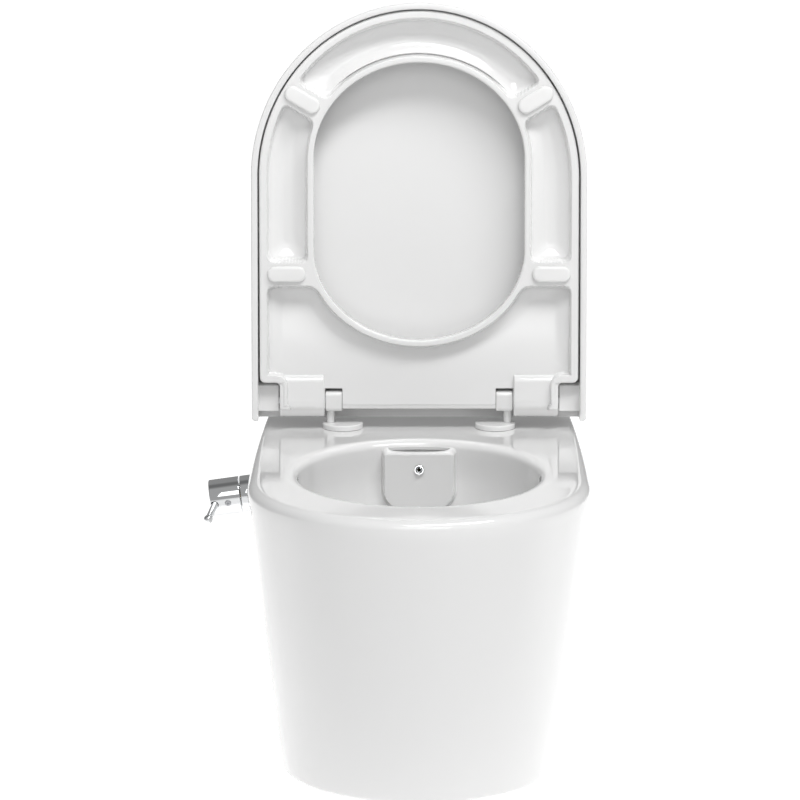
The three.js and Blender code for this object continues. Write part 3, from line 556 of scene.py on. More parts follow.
class Skirt:
    """The ceramic's outline at any height, with the same number of points at each."""

    def __init__(self, sizes):
        self.sizes = sizes
        self.centres = (RIM_CENTRE, FOOT_CENTRE)
        corner = np.linspace(1, 0.72, 10)
        self.rear = np.concatenate([corner, np.linspace(0.70, -0.70, 97), -corner[::-1]])
        self.side = np.linspace(0, 1, 22)[1:-1]

    def share(self, z):
        drop = (RIM_Z - z) / (RIM_Z - FOOT_Z)
        return drop - STRAIGHT_BAND * (1 - math.exp(-drop / STRAIGHT_BAND))

    def ring(self, z, inset=0.0, back=0.0):
        s, share_ = self.sizes, self.share(min(z, RIM_Z - self.sizes.edge_round))
        half = s.half_width + (s.foot_half_width - s.half_width) * share_ - inset
        depth = s.front_depth + (s.foot_front_depth - s.front_depth) * share_ - inset
        centre = self.centres[0] + (self.centres[1] - self.centres[0]) * share_
        angles = np.radians(np.linspace(180, 360, 101))
        front = np.column_stack([half * np.cos(angles), centre + depth * np.sin(angles)])
        y = centre + (back - centre) * self.side
        x = half - s.narrowing * ((y - centre) / centre) ** 2
        corner = half - s.narrowing * ((back - centre) / centre) ** 2
        right = np.column_stack([x, y])
        rear = np.column_stack([corner * self.rear, np.full(len(self.rear), back)])
        left = np.column_stack([-x[::-1], y[::-1]])
        outline = np.vstack([front, right, rear, left])
        return np.column_stack([outline, np.full(len(outline), z)])


def basin_ring(directions, a, b, centre, z):
    """Points of a level ellipse in the given directions from its centre."""
    c, s = np.cos(directions), np.sin(directions)
    r = a * b / np.sqrt((b * c) ** 2 + (a * s) ** 2)
    return np.column_stack([r * c, centre + r * s, np.full(len(c), z)])


def basin_at(z):
    """(half width, half length, centre) of the basin at height z."""
    table = np.array(spline(BASIN_LEVELS, 12))
    return [float(np.interp(z, table[:, 0], table[:, i])) for i in (1, 2, 3)]


def pod_share(x, z):
    """1 on the pod's face, 0 off it, with a soft edge between."""
    middle, half_z = (POD["low"] + POD["high"]) / 2, (POD["high"] - POD["low"]) / 2
    r = np.where(z < middle, POD["low_round"], POD["high_round"])
    qx, qz = np.abs(x) - (POD["half"] - r), np.abs(z - middle) - (half_z - r)
    distance = np.hypot(np.maximum(qx, 0), np.maximum(qz, 0)) + np.minimum(np.maximum(qx, qz), 0) - r
    return 1 - smooth_step(-0.0030, 0.0012, distance)


def push_pod(ring):
    """Brings the basin's back wall forward to the pod's face."""
    share_ = pod_share(ring[:, 0], ring[:, 2])
    behind = (ring[:, 1] > POD["front"]) & (ring[:, 1] > BASIN_CENTRE)
    ring[:, 1] += np.where(behind, share_ * (POD["front"] - ring[:, 1]), 0)
    return ring


def bowl_shell(sizes):
    """Sump, basin, pod, lip, deck, skirt and foot as one closed surface."""
    skirt = Skirt(sizes)
    edge = skirt.ring(RIM_Z)
    directions = np.arctan2(edge[:, 1] - BASIN_CENTRE, edge[:, 0])
    rings = [basin_ring(directions, 0.024, 0.030, -0.283, -0.150)]
    lip_start = RIM_Z - sizes.lip_drop
    sump, below_pod = [-0.1495, -0.148, -0.144], np.arange(-0.139, -0.004, 0.005)
    upper = np.arange(-0.003, lip_start, 0.0012)
    levels = np.concatenate([sump, below_pod, upper])
    for z in levels:
        rings.append(push_pod(basin_ring(directions, *basin_at(z), z)))
    a0, b0, centre = basin_at(lip_start)
    for angle in arc(0, 90, 22):
        out = sizes.lip_width * (1 - math.cos(angle) ** LIP_POWER)
        z = RIM_Z - sizes.lip_drop * (1 - math.sin(angle) ** LIP_POWER)
        rings.append(push_pod(basin_ring(directions, a0 + out, b0 + out, centre, z)))
    inner, outer = rings[-1], skirt.ring(RIM_Z, sizes.edge_round)
    rings += [inner + (outer - inner) * t for t in (0.3, 0.6, 0.85)]
    for angle in arc(0, 90, 9):
        inset = sizes.edge_round * (1 - math.sin(angle))
        rings.append(skirt.ring(RIM_Z - sizes.edge_round * (1 - math.cos(angle)), inset))
    top, low = RIM_Z - sizes.edge_round, FOOT_Z + sizes.foot_round
    rings += [skirt.ring(z) for z in np.linspace(top, low, 26)[1:]]
    for angle in arc(0, 90, 6)[1:]:
        inset = sizes.foot_round * (1 - math.cos(angle))
        rings.append(skirt.ring(low - sizes.foot_round * math.sin(angle), inset))
    return loft("bowl", [r.tolist() for r in rings])


def tube(name, path, radius, per_span=6, segments=48):
    """A round bar along a path of (y, z) in the plane x = 0."""
    points = np.array(spline(path, per_span))
    along = np.gradient(points, axis=0)
    along /= np.linalg.norm(along, axis=1)[:, None]
    rings = []
    for (y, z), (dy, dz) in zip(points, along):
        ring = [(a, y - b * dz, z + b * dy) for a, b in circle(radius, segments)]
        rings.append(ring)
    return loft(name, rings)


def flush_duct(name, wall, start, end):
    """The water way from the wall inlet to the wide slot over the pod, grown by wall."""
    flat, round_ = (0.0048, 0.0655), (0.0275, 0.0275, 0.035)
    stations = [
        (end, 0.034, *flat), (-0.150, 0.036, *flat), (-0.118, 0.044, *flat),
        (-0.105, 0.045, 0.005, 0.065), (-0.085, 0.041, 0.010, 0.059), (-0.065, 0.033, 0.020, 0.045),
        (-0.045, *round_), (start, *round_),
    ]
    rings = []
    for y, half, rise, z in stations:
        power = 0.35 + 0.65 * (rise / half) ** 2
        ring = []
        for a, b in circle(1, 48):
            x, h = math.copysign(abs(a) ** power, a), math.copysign(abs(b) ** power, b)
            ring.append(((half + wall) * x, y, z + (rise + wall) * h))
        rings.append(ring)
    return loft(name, rings)


def basin_outside(name):
    rings = []
    directions = np.radians(np.linspace(0, 360, 97)[:-1])
    for z in np.concatenate([[-0.160], np.linspace(-0.15, 0.0705, 24), [0.0805]]):
        a, b, centre = basin_at(min(max(z, -0.15), 0.0705))
        rings.append(basin_ring(directions, a + 0.010, b + 0.010, centre, z).tolist())
    return loft(name, rings)


def quarter_turn(point, axis, sign=1):
    """A frame at point, turned a quarter about one axis."""
    return Matrix.Translation(point) @ Matrix.Rotation(math.radians(90 * sign), 4, axis)


def rod_y(name, radius, y0, y1, x, z, segments=64):
    return rod(name, radius, y0, y1, quarter_turn((x, 0, z), "Z"), segments)


def rod_z(name, radius, z0, z1, x, y, segments=48):
    return rod(name, radius, z0, z1, quarter_turn((x, y, 0), "Y", -1), segments)


def rod_x(name, radius, x0, x1, y, z, segments=48):
    return rod(name, radius, min(x0, x1), max(x0, x1), Matrix.Translation((0, y, z)), segments)


# Where the ceramic meets what is bolted into it.
OUTLET_Z = -0.100
OUTLET_RADIUS, SPIGOT_RADIUS, OUTLET_DEPTH = 0.045, 0.051, 0.045
TRAP_RADIUS, TRAP_WALL = 0.027, 0.008
FIXING_Y = -0.028
BOLT_X = 0.0775
VALVE = Matrix.Translation(VALVE_AT) @ Matrix.Rotation(math.pi - math.asin(-VALVE_AXIS.z), 4, "Y")
NOZZLE_TILT = math.radians(20)
NOZZLE = along_x(NOZZLE_AT, (0, math.cos(NOZZLE_TILT), -math.sin(NOZZLE_TILT)))


def hollow_tool(sizes):
    """The room inside the skirt, less the walls of basin, trap and ducts that stand in it."""
    skirt = Skirt(sizes)
    floor, ceiling = FOOT_Z + sizes.wall, RIM_Z - DECK_THICKNESS
    levels = np.linspace(floor, ceiling, 18)
    tool = loft("hollow", [skirt.ring(z, sizes.wall, 0.005).tolist() for z in levels])
    solids = [
        basin_outside("basin_outside"),
        tube("trap_outside", TRAP_PATH, TRAP_RADIUS + TRAP_WALL),
        block("back_plate", (-0.070, -0.014, -0.165), (0.070, 0.010, RIM_Z)),
        rod_y("spigot", SPIGOT_RADIUS, -OUTLET_DEPTH - 0.006, 0.010, 0, OUTLET_Z),
        flush_duct("duct_outside", 0.006, 0.010, -0.150),
    ]
    for side in (-1, 1):
        x0, x1 = sorted((side * 0.126, side * 0.170))
        solids.append(block("fixing_boss", (x0, -0.056, -0.030), (x1, 0.010, 0.030)))
    for body in solids:
        carve(tool, body)
    return tool


def slot_tool():
    """The mouth of the water way: a crescent along the back of the basin, over the pod's top edge."""
    a, b, centre = basin_at(RIM_Z)
    across = np.linspace(-0.033, 0.033, 41)
    back = centre + (b - 0.0006) * np.sqrt(1 - (across / (a - 0.0006)) ** 2)
    front = back - 0.0005 - 0.0135 * np.sqrt(1 - (across / 0.0331) ** 2)
    outline = np.vstack([np.column_stack([across, front]), np.column_stack([across, back])[::-1]])
    rings = [np.column_stack([outline, np.full(len(outline), z)]).tolist() for z in (0.0595, RIM_Z + 0.002)]
    return loft("slot", rings)


def bowl_cuts():
    """Every opening in the ceramic."""
    cuts = [
        flush_duct("duct", 0.0, 0.005, -0.172),
        slot_tool(),
        tube("trap", TRAP_PATH, TRAP_RADIUS),
        rod_y("outlet", OUTLET_RADIUS, -OUTLET_DEPTH, 0.005, 0, OUTLET_Z),
        rod("nozzle_bore", 0.0046, -0.020, 0.060, NOZZLE),
        rod("nozzle_mouth", 0.0056, -0.020, 0.0015, NOZZLE),
        rod("nozzle_back", 0.013, 0.034, 0.060, NOZZLE),
        rod("valve_bore", 0.013, -0.040, 0.030, VALVE),
        rod("valve_seat", 0.0207, -0.002, 0.030, VALVE),
        rod("valve_room", 0.020, -0.060, -0.014, VALVE),
    ]
    for side in (-1, 1):
        for radius, inner, outer in ((0.011, 0.141, 0.190), (0.005, 0.120, 0.142), (0.014, 0.157, 0.190)):
            cuts.append(rod_x("fixing_bore", radius, side * inner, side * outer, FIXING_Y, 0))
        cuts.append(rod_z("bolt_hole", 0.007, 0.050, RIM_Z + 0.005, side * BOLT_X, HINGE.y))
    return cuts


def make_bowl(sizes):
    bowl = bowl_shell(sizes)
    carve(bowl, hollow_tool(sizes))
    for tool in bowl_cuts():
        carve(bowl, tool)
    shade(bowl, 32)
    return finish_piece(bowl, "glazed_ceramic", "bowl", "bowl_ceramic")


# ---------- seat and lid, drawn closed as (x, u, t) ----------
def raised(points):
    """Closed (x, u, t) points as a mesh in the part's frame, seat or lid up."""
    return [RAISED @ Vector((x, -u, t)) for x, u, t in points]


def corner_arc(centre, radius, start, end, count):
    angles = np.radians(np.linspace(start, end, count + 1))
    return np.column_stack([centre[0] + radius * np.cos(angles), centre[1] + radius * np.sin(angles)])


def straight(start, end, count):
    """Points between two corners, without the corners."""
    t = np.linspace(0, 1, count + 1)[1:-1, None]
    return np.array(start) * (1 - t) + np.array(end) * t


def mirror_outline(right):
    """The outline of both sides from its right half, which runs from front to rear."""
    left = right[::-1] * (-1, 1)
    return np.vstack([right[1:], left[1:]])


def seat_outline(sizes, rear_end):
    """Right half of the seat's edge from its front, with the step in beside the hinge."""
    half, front, arc_depth = sizes.half_width, sizes.front, 0.1775
    angles = np.radians(np.linspace(90, 0, 200))
    bow = np.column_stack([half * np.cos(angles), front - arc_depth + arc_depth * np.sin(angles)])
    shoulder, web = 0.0205, 0.150
    parts = [bow, straight(bow[-1], (half, shoulder + 0.006), 110)]
    parts.append(corner_arc((half - 0.006, shoulder + 0.006), 0.006, 0, -90, 12))
    parts.append(straight((half - 0.006, shoulder), (web + 0.004, shoulder), 8))
    parts.append(corner_arc((web + 0.004, shoulder - 0.004), 0.004, 90, 180, 8))
    parts.append(straight((web, shoulder - 0.004), (web, rear_end + 0.003), 14))
    parts.append(corner_arc((web - 0.003, rear_end + 0.003), 0.003, 0, -90, 6))
    side = np.vstack(parts)
    return side, straight((web - 0.003, rear_end), (0, rear_end), 76)


HOLE_FRONT_REACH, HOLE_REAR_REACH = 0.103, 0.098  # length of the half-ellipse at each end of the opening


def hole_outline(sizes, directions, grow=0.0):
    """Points of the seat's opening in the given directions from its middle."""
    middle = (sizes.hole_rear + sizes.hole_front) / 2
    front = (HOLE_FRONT_REACH, sizes.hole_front - HOLE_FRONT_REACH)
    rear = (HOLE_REAR_REACH, sizes.hole_rear + HOLE_REAR_REACH)
    dense = []
    for a in np.radians(np.linspace(-180, 180, 1441)[:-1]):
        reach, centre = front if math.sin(a) >= 0 else rear
        dense.append(((sizes.hole_half_width + grow) * math.cos(a), centre + (reach + grow) * math.sin(a)))
    dense = np.array(dense)
    angles = np.arctan2(dense[:, 1] - middle, dense[:, 0])
    order = np.argsort(angles)
    angles, dense = angles[order], dense[order]
    x = np.interp(directions, angles, dense[:, 0], period=2 * math.pi)
    u = np.interp(directions, angles, dense[:, 1], period=2 * math.pi)
    return np.column_stack([x, u])


def distance_to(points, line):
    """Shortest distance from each point to a dense line of points."""
    out = np.empty(len(points))
    for start in range(0, len(points), 4000):
        chunk = points[start:start + 4000]
        out[start:start + 4000] = np.sqrt(((chunk[:, None] - line[None]) ** 2).sum(2).min(1))
    return out


def soft_least(a, b, blend):
    """The smaller of two distances, with the corner between them rounded."""
    h = np.clip(0.5 + 0.5 * (b - a) / blend, 0, 1)
    return b + (a - b) * h - blend * h * (1 - h)


def fillet(distance, radius):
    """How far a rounded edge has fallen at a distance in from the edge."""
    d = np.clip(distance, 0, radius)
    return radius - np.sqrt(np.maximum(radius**2 - (radius - d) ** 2, 0))


RIBS = [(0.142, 0.1378, 0.0), (0.1245, 0.3244, 31.0)]
# How far in from an edge the seat's mesh has a line: close together where a lip turns down.
RISE_STEPS = (0, 0.0002, 0.0005, 0.0009, 0.0014, 0.0020, 0.0028, 0.0038, 0.0047, 0.0054,
              *(0.0060 + 0.0006 * i for i in range(8)), 0.0110, 0.0120)
SEAT_TOP, SEAT_UNDER, SEAT_CEILING, WEB_UNDER = 0.005, -0.0255, -0.005, -0.012


def seat_underside(sizes, points, lip_line, edge_line, hole_line):
    """Height of the seat's lower surface at (x, u) points."""
    to_lip, to_edge = distance_to(points, lip_line), distance_to(points, edge_line)
    to_hole = distance_to(points, hole_line)
    pocket = soft_least(to_lip - sizes.outer_lip, to_hole - sizes.inner_lip, 0.010)
    x, u = np.abs(points[:, 0]), points[:, 1]
    for rib_x, rib_u, turn in RIBS:
        angle = math.radians(turn)
        off = np.abs((u - rib_u) * math.cos(angle) - (x - rib_x) * math.sin(angle)) - sizes.rib_width / 2
        pocket = soft_least(pocket, off, 0.009)
    web = 1 - smooth_step(0.030, 0.128, u)
    floor = SEAT_CEILING + (WEB_UNDER - SEAT_CEILING) * web
    slow = 0.28 * smooth_step(0.030, 0.070, u)
    rise = (1 - slow) * smooth_step(-0.0002, 0.0026, pocket) + slow * smooth_step(0.002, 0.018, pocket)
    height = SEAT_UNDER + (floor - SEAT_UNDER) * rise
    seam = np.exp(-(((to_hole - sizes.inner_lip - 0.0030) / 0.0007) ** 2))
    height += 0.0035 * seam * smooth_step(0.330, 0.350, u)
    height += 0.0012 * (1 - smooth_step(0.0035, 0.0055, to_edge)) * (u < 0.02)
    return height + fillet(to_edge, 0.0025) + fillet(to_hole, 0.0022)


def seat_shell(sizes):
    right, rear = seat_outline(sizes, -0.009)
    edge = mirror_outline(np.vstack([right, rear, [(0, -0.009)]]))
    middle = (sizes.hole_rear + sizes.hole_front) / 2
    directions = np.arctan2(edge[:, 1] - middle, edge[:, 0])
    hole = hole_outline(sizes, directions)
    lip_line = np.vstack([right, right * (-1, 1)])
    way = edge - hole
    way /= np.linalg.norm(way, axis=1)[:, None]
    inside = [hole + way * off for off in RISE_STEPS]
    outside = [edge - way * off * 1.1 for off in reversed(RISE_STEPS)]
    between = [inside[-1] + (outside[0] - inside[-1]) * i / 44 for i in range(1, 44)]
    across = inside + between + outside
    rings = []
    for ring in across:
        rings.append(np.column_stack([ring, seat_underside(sizes, ring, lip_line, edge, hole)]))
    upper = SEAT_TOP - 0.0045
    outer_low = rings[-1][:, 2]
    rings += [np.column_stack([edge, outer_low + (upper - outer_low) * t]) for t in (0.25, 0.5, 0.75)]
    for s in [0.5 + 0.5 * math.cos(math.pi * i / 44) for i in range(45)]:
        ring = hole + (edge - hole) * s
        fall = fillet(distance_to(ring, edge), 0.0045) + fillet(distance_to(ring, hole), 0.0065)
        rings.append(np.column_stack([ring, SEAT_TOP - fall]))
    hole_high, hole_low = rings[-1][:, 2], rings[0][:, 2]
    rings += [np.column_stack([hole, hole_high + (hole_low - hole_high) * t]) for t in (0.2, 0.4, 0.6, 0.8)]
    return torus_grid("seat", [raised(ring) for ring in rings])


def raised_rod(name, radius, x0, x1, bevel=0.0, segments=64):
    return rod(name, radius, min(x0, x1), max(x0, x1), RAISED, segments, bevel)


def raised_block(name, low, high):
    """A block between two (x, u, t) corners."""
    (x0, u0, t0), (x1, u1, t1) = low, high
    body = block(name, (min(x0, x1), -u1, t0), (max(x0, x1), -u0, t1))
    body.data.transform(RAISED)
    return body


def make_seat(sizes):
    seat = seat_shell(sizes)
    for side in (-1, 1):
        room = ((side * 0.0826, -0.030, -0.040), (side * 0.1014, 0.0136, 0.020))
        carve(seat, raised_block("post_room", *room))
        knuckle = raised_rod("knuckle", 0.018, side * 0.102, side * 0.150, 0.0015, 96)
        foot = soft_block("knuckle_foot", lambda inset: rounded_rect(0.020, 0.01125, 0.008, inset),
                          edge_levels(*sorted((side * 0.1022, side * 0.1498)), 0.0012),
                          RAISED @ Matrix.Translation((0, -0.0085, -0.00665)) @ ALONG_X)
        carve(knuckle, foot, "UNION")
        carve(seat, knuckle, "UNION")
        carve(seat, raised_rod("pin_hole", 0.0054, side * 0.101, side * 0.151))
        carve(seat, raised_rod("sleeve_room", 0.0093, side * 0.104, side * 0.151))
        for rib_x, rib_u, turn in RIBS:
            place = RAISED @ quarter_turn((side * rib_x, -rib_u, 0), "Y", -1)
            carve(seat, rod("stem_hole", 0.0043, -0.0305, -0.0137, place, 24))
    shade(seat, 30)
    return finish_piece(seat, "gloss_seat_plastic", "seat", "seat_ring")


def lid_outline(sizes, inset):
    """Ring round the lid as (x, u), drawn in by inset."""
    half, front, rear = sizes.half_width - inset, sizes.front - inset, sizes.rear + inset
    arc_depth = 0.186 - inset
    angles = np.radians(np.linspace(90, 0, 160))
    bow = np.column_stack([half * np.cos(angles), front - arc_depth + arc_depth * np.sin(angles)])
    corner = max(0.004 - inset, 0.0003)
    parts = [bow, straight(bow[-1], (half, rear + corner), 60)]
    parts.append(corner_arc((half - corner, rear + corner), corner, 0, -90, 6))
    parts.append(straight((half - corner, rear), (0, rear), 30))
    return mirror_outline(np.vstack(parts + [[(0, rear)]]))


def lid_levels(sizes, top, inner, skirt):
    """(inset, height) from the outer panel round the edge, down the wall, up inside to the inner panel."""
    r, wall, foot, inside = sizes.top_round, sizes.wall, 0.0018, 0.006
    levels = [(0.060, top), (0.030, top), (0.015, top)]
    levels += [(r * (1 - math.sin(a)), top - r * (1 - math.cos(a))) for a in arc(0, 90, 8)]
    levels += [(0, top - r + (skirt + foot - top + r) * t) for t in (0.25, 0.5, 0.75)]
    levels += [(foot * (1 - math.cos(a)), skirt + foot * (1 - math.sin(a))) for a in arc(0, 90, 4)]
    levels += [(wall - foot * (1 - math.sin(a)), skirt + foot * (1 - math.cos(a))) for a in arc(0, 90, 4)]
    levels += [(wall, skirt + foot + (inner - inside - skirt - foot) * t) for t in (0.25, 0.5, 0.75)]
    levels += [(wall + inside * (1 - math.cos(a)), inner - inside * (1 - math.sin(a))) for a in arc(0, 90, 6)]
    levels += [(0.030, inner), (0.060, inner)]
    return levels


LID_TOP, LID_INNER, LID_SKIRT = 0.0235, 0.0185, -0.029


def make_lid(sizes):
    rings = []
    for inset, height in lid_levels(sizes, LID_TOP, LID_INNER, LID_SKIRT):
        outline = lid_outline(sizes, inset)
        rings.append(raised(np.column_stack([outline, np.full(len(outline), height)])))
    lid = loft("lid", rings)
    inside = sizes.half_width - sizes.wall
    carve(lid, raised_block("rear_opening", (-inside, -0.040, -0.040), (inside, 0.010, LID_INNER - 0.0003)))
    for side in (-1, 1):
        barrel = raised_rod("lid_barrel", 0.011, side * 0.153, side * (sizes.half_width - 0.003), 0.001, 72)
        outer = side * (sizes.half_width - 0.003)
        profile = [(0.0109, -0.0112), (-0.0165, -0.0112), (-0.0194, -0.0045),
                   (-0.0194, 0.0205), (0.0109, 0.0205)]
        ends = [[RAISED @ Vector((x, y, z)) for y, z in profile] for x in (side * 0.1514, outer)]
        carve(barrel, loft("boss", ends), "UNION")
        carve(lid, barrel, "UNION")
        carve(lid, raised_rod("barrel_room", 0.0083, side * 0.150, side * 0.170))
    shade(lid, 30)
    return finish_piece(lid, "gloss_seat_plastic", "lid", "lid_shell")


def make_bumpers():
    pads = []
    for side, word in ((-1, "left"), (1, "right")):
        for (rib_x, rib_u, turn), place_word in zip(RIBS, ("rear", "front")):
            foot, top, radius, half = -0.0301, SEAT_UNDER - 0.0003, 0.0087, 0.012
            levels = [(0.0008, top), (0.0, top - 0.0008)]
            levels += [(0.003 * (1 - math.cos(a)), foot + 0.003 * (1 - math.sin(a))) for a in arc(0, 90, 6)]
            levels += [(0.0055, foot)]
            outline = lambda inset: rounded_rect(half + radius, radius, radius - 0.0001, inset, 14)
            turn_by = Matrix.Rotation(-math.radians(turn) * side, 4, "Z")
            place = RAISED @ Matrix.Translation((side * rib_x, -rib_u, 0)) @ turn_by
            pad = soft_block(f"seat_pad_{place_word}_{word}", outline, levels, place)
            stem_place = RAISED @ quarter_turn((side * rib_x, -rib_u, 0), "Y", -1)
            carve(pad, rod("pad_stem", 0.004, foot + 0.002, -0.014, stem_place, 32, 0.0008), "UNION")
            shade(pad, 30)
            finish_piece(pad, "soft_white_rubber", "seat", f"seat_bumper_{place_word}_{word}")
            pads.append(pad)
    return pads


# ---------- hinge posts and their discs ----------
ALONG_X = Matrix(((0, 0, 1, 0), (1, 0, 0, 0), (0, 1, 0, 0), (0, 0, 0, 1)))
STEM_X, DISC_X, PIN_RADIUS = 0.0955, 0.0825, 0.005


def make_post(side, word):
    inner, outer = sorted((side * 0.083, side * 0.101))
    place = Matrix.Translation((0, HINGE.y, HINGE.z)) @ ALONG_X
    post = soft_block(f"post_{word}", lambda inset: rounded_rect(0.011, 0.011, 0.005, inset),
                      edge_levels(inner, outer, 0.0013), place)
    carve(post, rod_z("stem", 0.0042, RIM_Z + 0.0028, HINGE.z - 0.008, side * STEM_X, HINGE.y, 56), "UNION")
    carve(post, rod_x("pin_room", PIN_RADIUS + 0.0003, side * 0.087, side * 0.110, HINGE.y, HINGE.z))
    shade(post, 32)
    return finish_piece(post, "white_plastic", "bowl", f"hinge_post_{word}")


def make_disc(side, word):
    low, top, radius = RIM_Z + 0.0003, RIM_Z + 0.006, 0.022
    corners = [(low, 0, 0), (low, radius, 0.0004), (top, radius, 0.0016), (top, 0, 0)]
    place = quarter_turn((side * DISC_X, HINGE.y, 0), "Y", -1)
    disc = turned(f"post_disc_{word}", corners, place, 96, 6)
    carve(disc, rod_z("bolt_head_room", 0.0086, RIM_Z - 0.002, RIM_Z + 0.004, side * BOLT_X, HINGE.y))
    carve(disc, rod_z("stem_room", 0.0048, RIM_Z + 0.0025, top + 0.002, side * STEM_X, HINGE.y, 56))
    shade(disc, 32)
    return finish_piece(disc, "white_plastic", "bowl", f"hinge_disc_{word}")


def make_side_plug(side, word):
    corners = [(0.156, 0, 0), (0.156, 0.0087, 0), (0.149, 0.0087, 0.0003), (0.149, 0.0107, 0.0006),
               (0.1573, 0.0107, 0), (0.1573, 0.0137, 0.0003), (0.160, 0.0137, 0.0012), (0.160, 0, 0)]
    place = Matrix.Translation((0, FIXING_Y, 0)) @ Matrix.Rotation(0 if side > 0 else math.pi, 4, "Z")
    plug = turned(f"fixing_plug_{word}", corners, place)
    return finish_piece(plug, "white_plastic", f"side_plug_{word}", f"side_plug_{word}")


# ---------- mixing valve ----------
VALVE_RADIUS, SLEEVE_END, HANDLE_START, HANDLE_END = 0.0197, 0.0176, 0.0186, 0.0511
LEVER_AT = HANDLE_END - 0.008
LEAN = math.radians(10)
LEVER_WAY = (math.sin(LEAN), -math.cos(LEAN) ** 2, math.cos(LEAN) * math.sin(LEAN))
LEVER = VALVE @ along_x((LEVER_AT, 0, 0), LEVER_WAY)
GRIP = VALVE @ along_x((LEVER_AT - 0.011, 0, 0.003), (0, -1, 0))


def make_sleeve():
    corners = [(-0.0002, 0.0125, 0.0002), (-0.0002, VALVE_RADIUS, 0.0004),
               (SLEEVE_END, VALVE_RADIUS, 0.0007), (SLEEVE_END, 0.0125, 0.0002)]
    sleeve = turned_ring("valve_sleeve", corners, VALVE, 128)
    return finish_piece(sleeve, "chrome", "bowl", "mixer_sleeve")


def make_handle():
    corners = [(HANDLE_START, 0, 0), (HANDLE_START, VALVE_RADIUS, 0.0007),
               (HANDLE_END, VALVE_RADIUS, 0.0012), (HANDLE_END, 0, 0)]
    handle = turned("valve_handle", corners, VALVE, 128, 5)
    carve(handle, rod("stem_bore", 0.0043, 0, SLEEVE_END + 0.013, VALVE))
    carve(handle, rod("grip_bore", 0.0033, 0.008, 0.030, GRIP))
    carve(handle, rod("lever_bore", 0.0043, 0.010, 0.030, LEVER))
    shade(handle, 30)
    return finish_piece(handle, "chrome", "mixer_handle", "mixer_handle")


def make_lever():
    radius, ball, tip = 0.004, 0.0048, 0.0546
    neck = math.degrees(math.asin(radius / ball))
    dome = [(tip + ball * math.cos(a), ball * math.sin(a), 0) for a in arc(180 - neck, 0, 18)]
    corners = [(0.0103, 0, 0), (0.0103, radius, 0.0004)] + dome[:-1] + [(tip + ball, 0, 0)]
    lever = turned("valve_lever", corners, LEVER, 64)
    return finish_piece(lever, "chrome", "mixer_handle", "lever_pin")


def make_grip_screw():
    radius, foot, head = 0.003, 0.009, VALVE_RADIUS + 0.0002
    corners = [(foot, 0, 0), (foot, radius, 0.0003), (head, radius, 0.0005), (head, 0, 0)]
    screw = turned("valve_grip_screw", corners, GRIP, 48)
    carve(screw, rod("hexagon", 0.0015, VALVE_RADIUS - 0.002, VALVE_RADIUS + 0.002, GRIP, 6))
    shade(screw, 30)
    return finish_piece(screw, "steel", "mixer_handle", "grip_screw")


# ---------- nozzle ----------
def make_nozzle_body():
    socket, water = 0.0035, 0.0016
    angles = arc(math.degrees(math.asin(water / socket)), 90, 10)
    cup = [(socket * math.cos(a), socket * math.sin(a), 0) for a in angles]
    corners = [(-0.0014, 0.0037, 0.0002), (-0.0014, 0.0053, 0.0006),
               (0.0012, 0.0053, 0.0002), (0.0012, 0.0043, 0),
               (0.056, 0.0043, 0.0004), (0.056, water, 0.0002)] + cup
    body = turned_ring("nozzle_socket", corners, NOZZLE, 96)
    return finish_piece(body, "chrome", "bowl", "nozzle_body")


def make_nozzle_tip():
    radius, jet, mouth = 0.0032, 0.0011, 0.0020
    front, back = math.degrees(math.asin(mouth / radius)), math.degrees(math.asin(jet / radius))
    ball = [(radius * math.cos(a), radius * math.sin(a), 0) for a in arc(back, 180 - front, 20)]
    corners = ball + [(-0.0005, jet, 0.0002)]
    tip = turned_ring("nozzle_ball", corners, NOZZLE, 64)
    return finish_piece(tip, "chrome", "nozzle_tip", "nozzle_tip")


# ---------- stage ----------
FLOOR_LEVEL = -0.320
MODEL_MIDDLE = (0, -0.3, 0.1)
CAMERA_AT, CAMERA_PITCH = (0, -4.497, 1.102), math.radians(12.7)


def make_floor(level):
    """A pale floor with painted light: it gives off light where it is the model's background, so that it
    reads as white, and is greyer and dimmer in front of the model.
    """
    reach, cells = 16.0, 24
    steps = np.linspace(-reach, reach, cells + 1)
    points = [(x, y, level) for y in steps for x in steps]
    row = cells + 1
    faces = [(j * row + i, j * row + i + 1, (j + 1) * row + i + 1, (j + 1) * row + i)
             for j in range(cells) for i in range(cells)]
    mesh = bpy.data.meshes.new("floor")
    mesh.from_pydata(points, [], faces)
    floor = bpy.data.objects.new("floor", mesh)
    bpy.context.scene.collection.objects.link(floor)

    def links(nodes):
        cloud = nodes.noise(0.6, 2)
        grain = nodes.noise(140.0, 2)
        place = nodes.add("ShaderNodeTexCoord", output="Object")
        along = nodes.axis(place, "Y")
        aside = nodes.add("ShaderNodeMath", {"operation": "ABSOLUTE"}, {0: nodes.axis(place, "X")})
        # Painted light: the floor glows behind and under the model and is greyer and dimmer in front of it,
        # which darkens what the glaze and the chrome reflect from the front.
        sides = nodes.ramp(aside - along * 0.14, 0.9, 2.4, 1.0, 0.0)
        painted_floor_glow = sides * nodes.ramp(along, -0.70, -0.20, 0.0, 1.0)
        far = nodes.ramp(along, 0.0, 5.0, 0.80, 1.0)
        return {
            "Base Color": nodes.mix_colour(painted_floor_glow, (0.78, 0.78, 0.78), (0.93, 0.93, 0.93)),
            "Roughness": cloud * 0.1 + 0.7,
            "Normal": nodes.bump(grain, 0.04, 0.0005),
            "Emission Color": nodes.mix_colour(painted_floor_glow * far, (0.28, 0.28, 0.28), (1.0, 1.0, 1.0)),
        }

    constants = {"Emission Strength": 0.86, "Specular IOR Level": 0.2}
    floor.data.materials.append(new_material("studio_floor", constants, links))
    return floor


